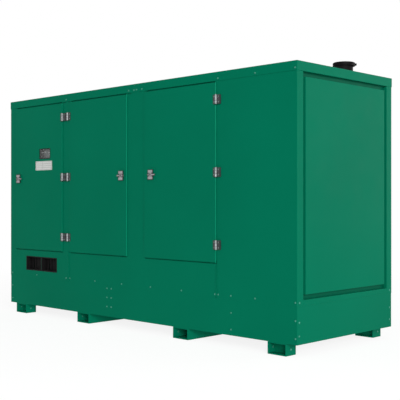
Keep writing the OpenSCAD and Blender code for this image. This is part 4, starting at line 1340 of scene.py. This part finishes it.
def make_floor():
    """A white floor: shaded a little where it lies in shadow, pure white further out."""
    reach, fade_start, fade_stop = 40.0, 2.5, 6.0
    mesh = bpy.data.meshes.new("floor")
    mesh.from_pydata([(-reach, -reach, 0), (reach, -reach, 0), (reach, reach, 0), (-reach, reach, 0)],
                     [], [(0, 1, 2, 3)])
    material = bpy.data.materials.new("floor_white")
    material.use_nodes = True
    tree = material.node_tree
    tree.nodes.clear()

    def lit(albedo, strength):
        """Matt paint with a glow of its own, which softens the shadows that fall on it."""
        paint = add_node(tree, "BsdfDiffuse", {"Color": (albedo, albedo, albedo, 1)}).outputs[0]
        glow = add_node(tree, "Emission", {"Strength": strength}).outputs[0]
        return add_node(tree, "AddShader", {0: paint, 1: glow}).outputs[0]

    place = add_node(tree, "TexCoord").outputs["Object"]
    distance = add_node(tree, "VectorMath", {0: place}, operation="LENGTH").outputs["Value"]
    fade = add_node(tree, "MapRange", {"Value": distance, "From Min": fade_start, "From Max": fade_stop})
    white = add_node(tree, "Emission", {"Strength": 1.0}).outputs[0]
    seen = mixed(tree, fade.outputs["Result"], lit(0.30, 0.86), white)
    look = mixed(tree, camera_ray_factor(tree), lit(0.45, 0.32), seen)
    add_node(tree, "OutputMaterial", {"Surface": look})
    mesh.materials.append(material)
    add_object("floor", mesh)


def area_light(name, azimuth, elevation, distance, size, power):
    """A square lamp that looks at the middle of the set from azimuth and elevation."""
    a, e = math.radians(azimuth), math.radians(elevation)
    back = Vector((math.sin(a) * math.cos(e), -math.cos(a) * math.cos(e), math.sin(e)))
    data = bpy.data.lights.new(name, "AREA")
    data.shape, data.size, data.energy = "SQUARE", size, power
    lamp = add_object(name, data)
    lamp.location = Vector((0, 0, 0.9)) + back * distance
    lamp.rotation_mode = "QUATERNION"
    lamp.rotation_quaternion = (-back).to_track_quat("-Z", "Y")


def make_camera():
    """Level with the set's middle, 44 degrees round from its front."""
    data = bpy.data.cameras.new("camera")
    data.sensor_width, data.lens, data.clip_end = 36.0, 74.47, 200
    camera = add_object("camera", data)
    camera.location = (4.739, -4.631, 0.980)
    camera.rotation_euler = (math.radians(90.019), 0, math.radians(44.311))
    scene.camera = camera


make_world()
make_floor()
area_light("key", azimuth=54, elevation=12, distance=25, size=11, power=4400)
area_light("rim", azimuth=145.5, elevation=3, distance=25, size=12, power=1350)
area_light("fill", azimuth=-10, elevation=20, distance=14, size=7, power=10)
make_camera()
scene.view_settings.view_transform = "Standard"
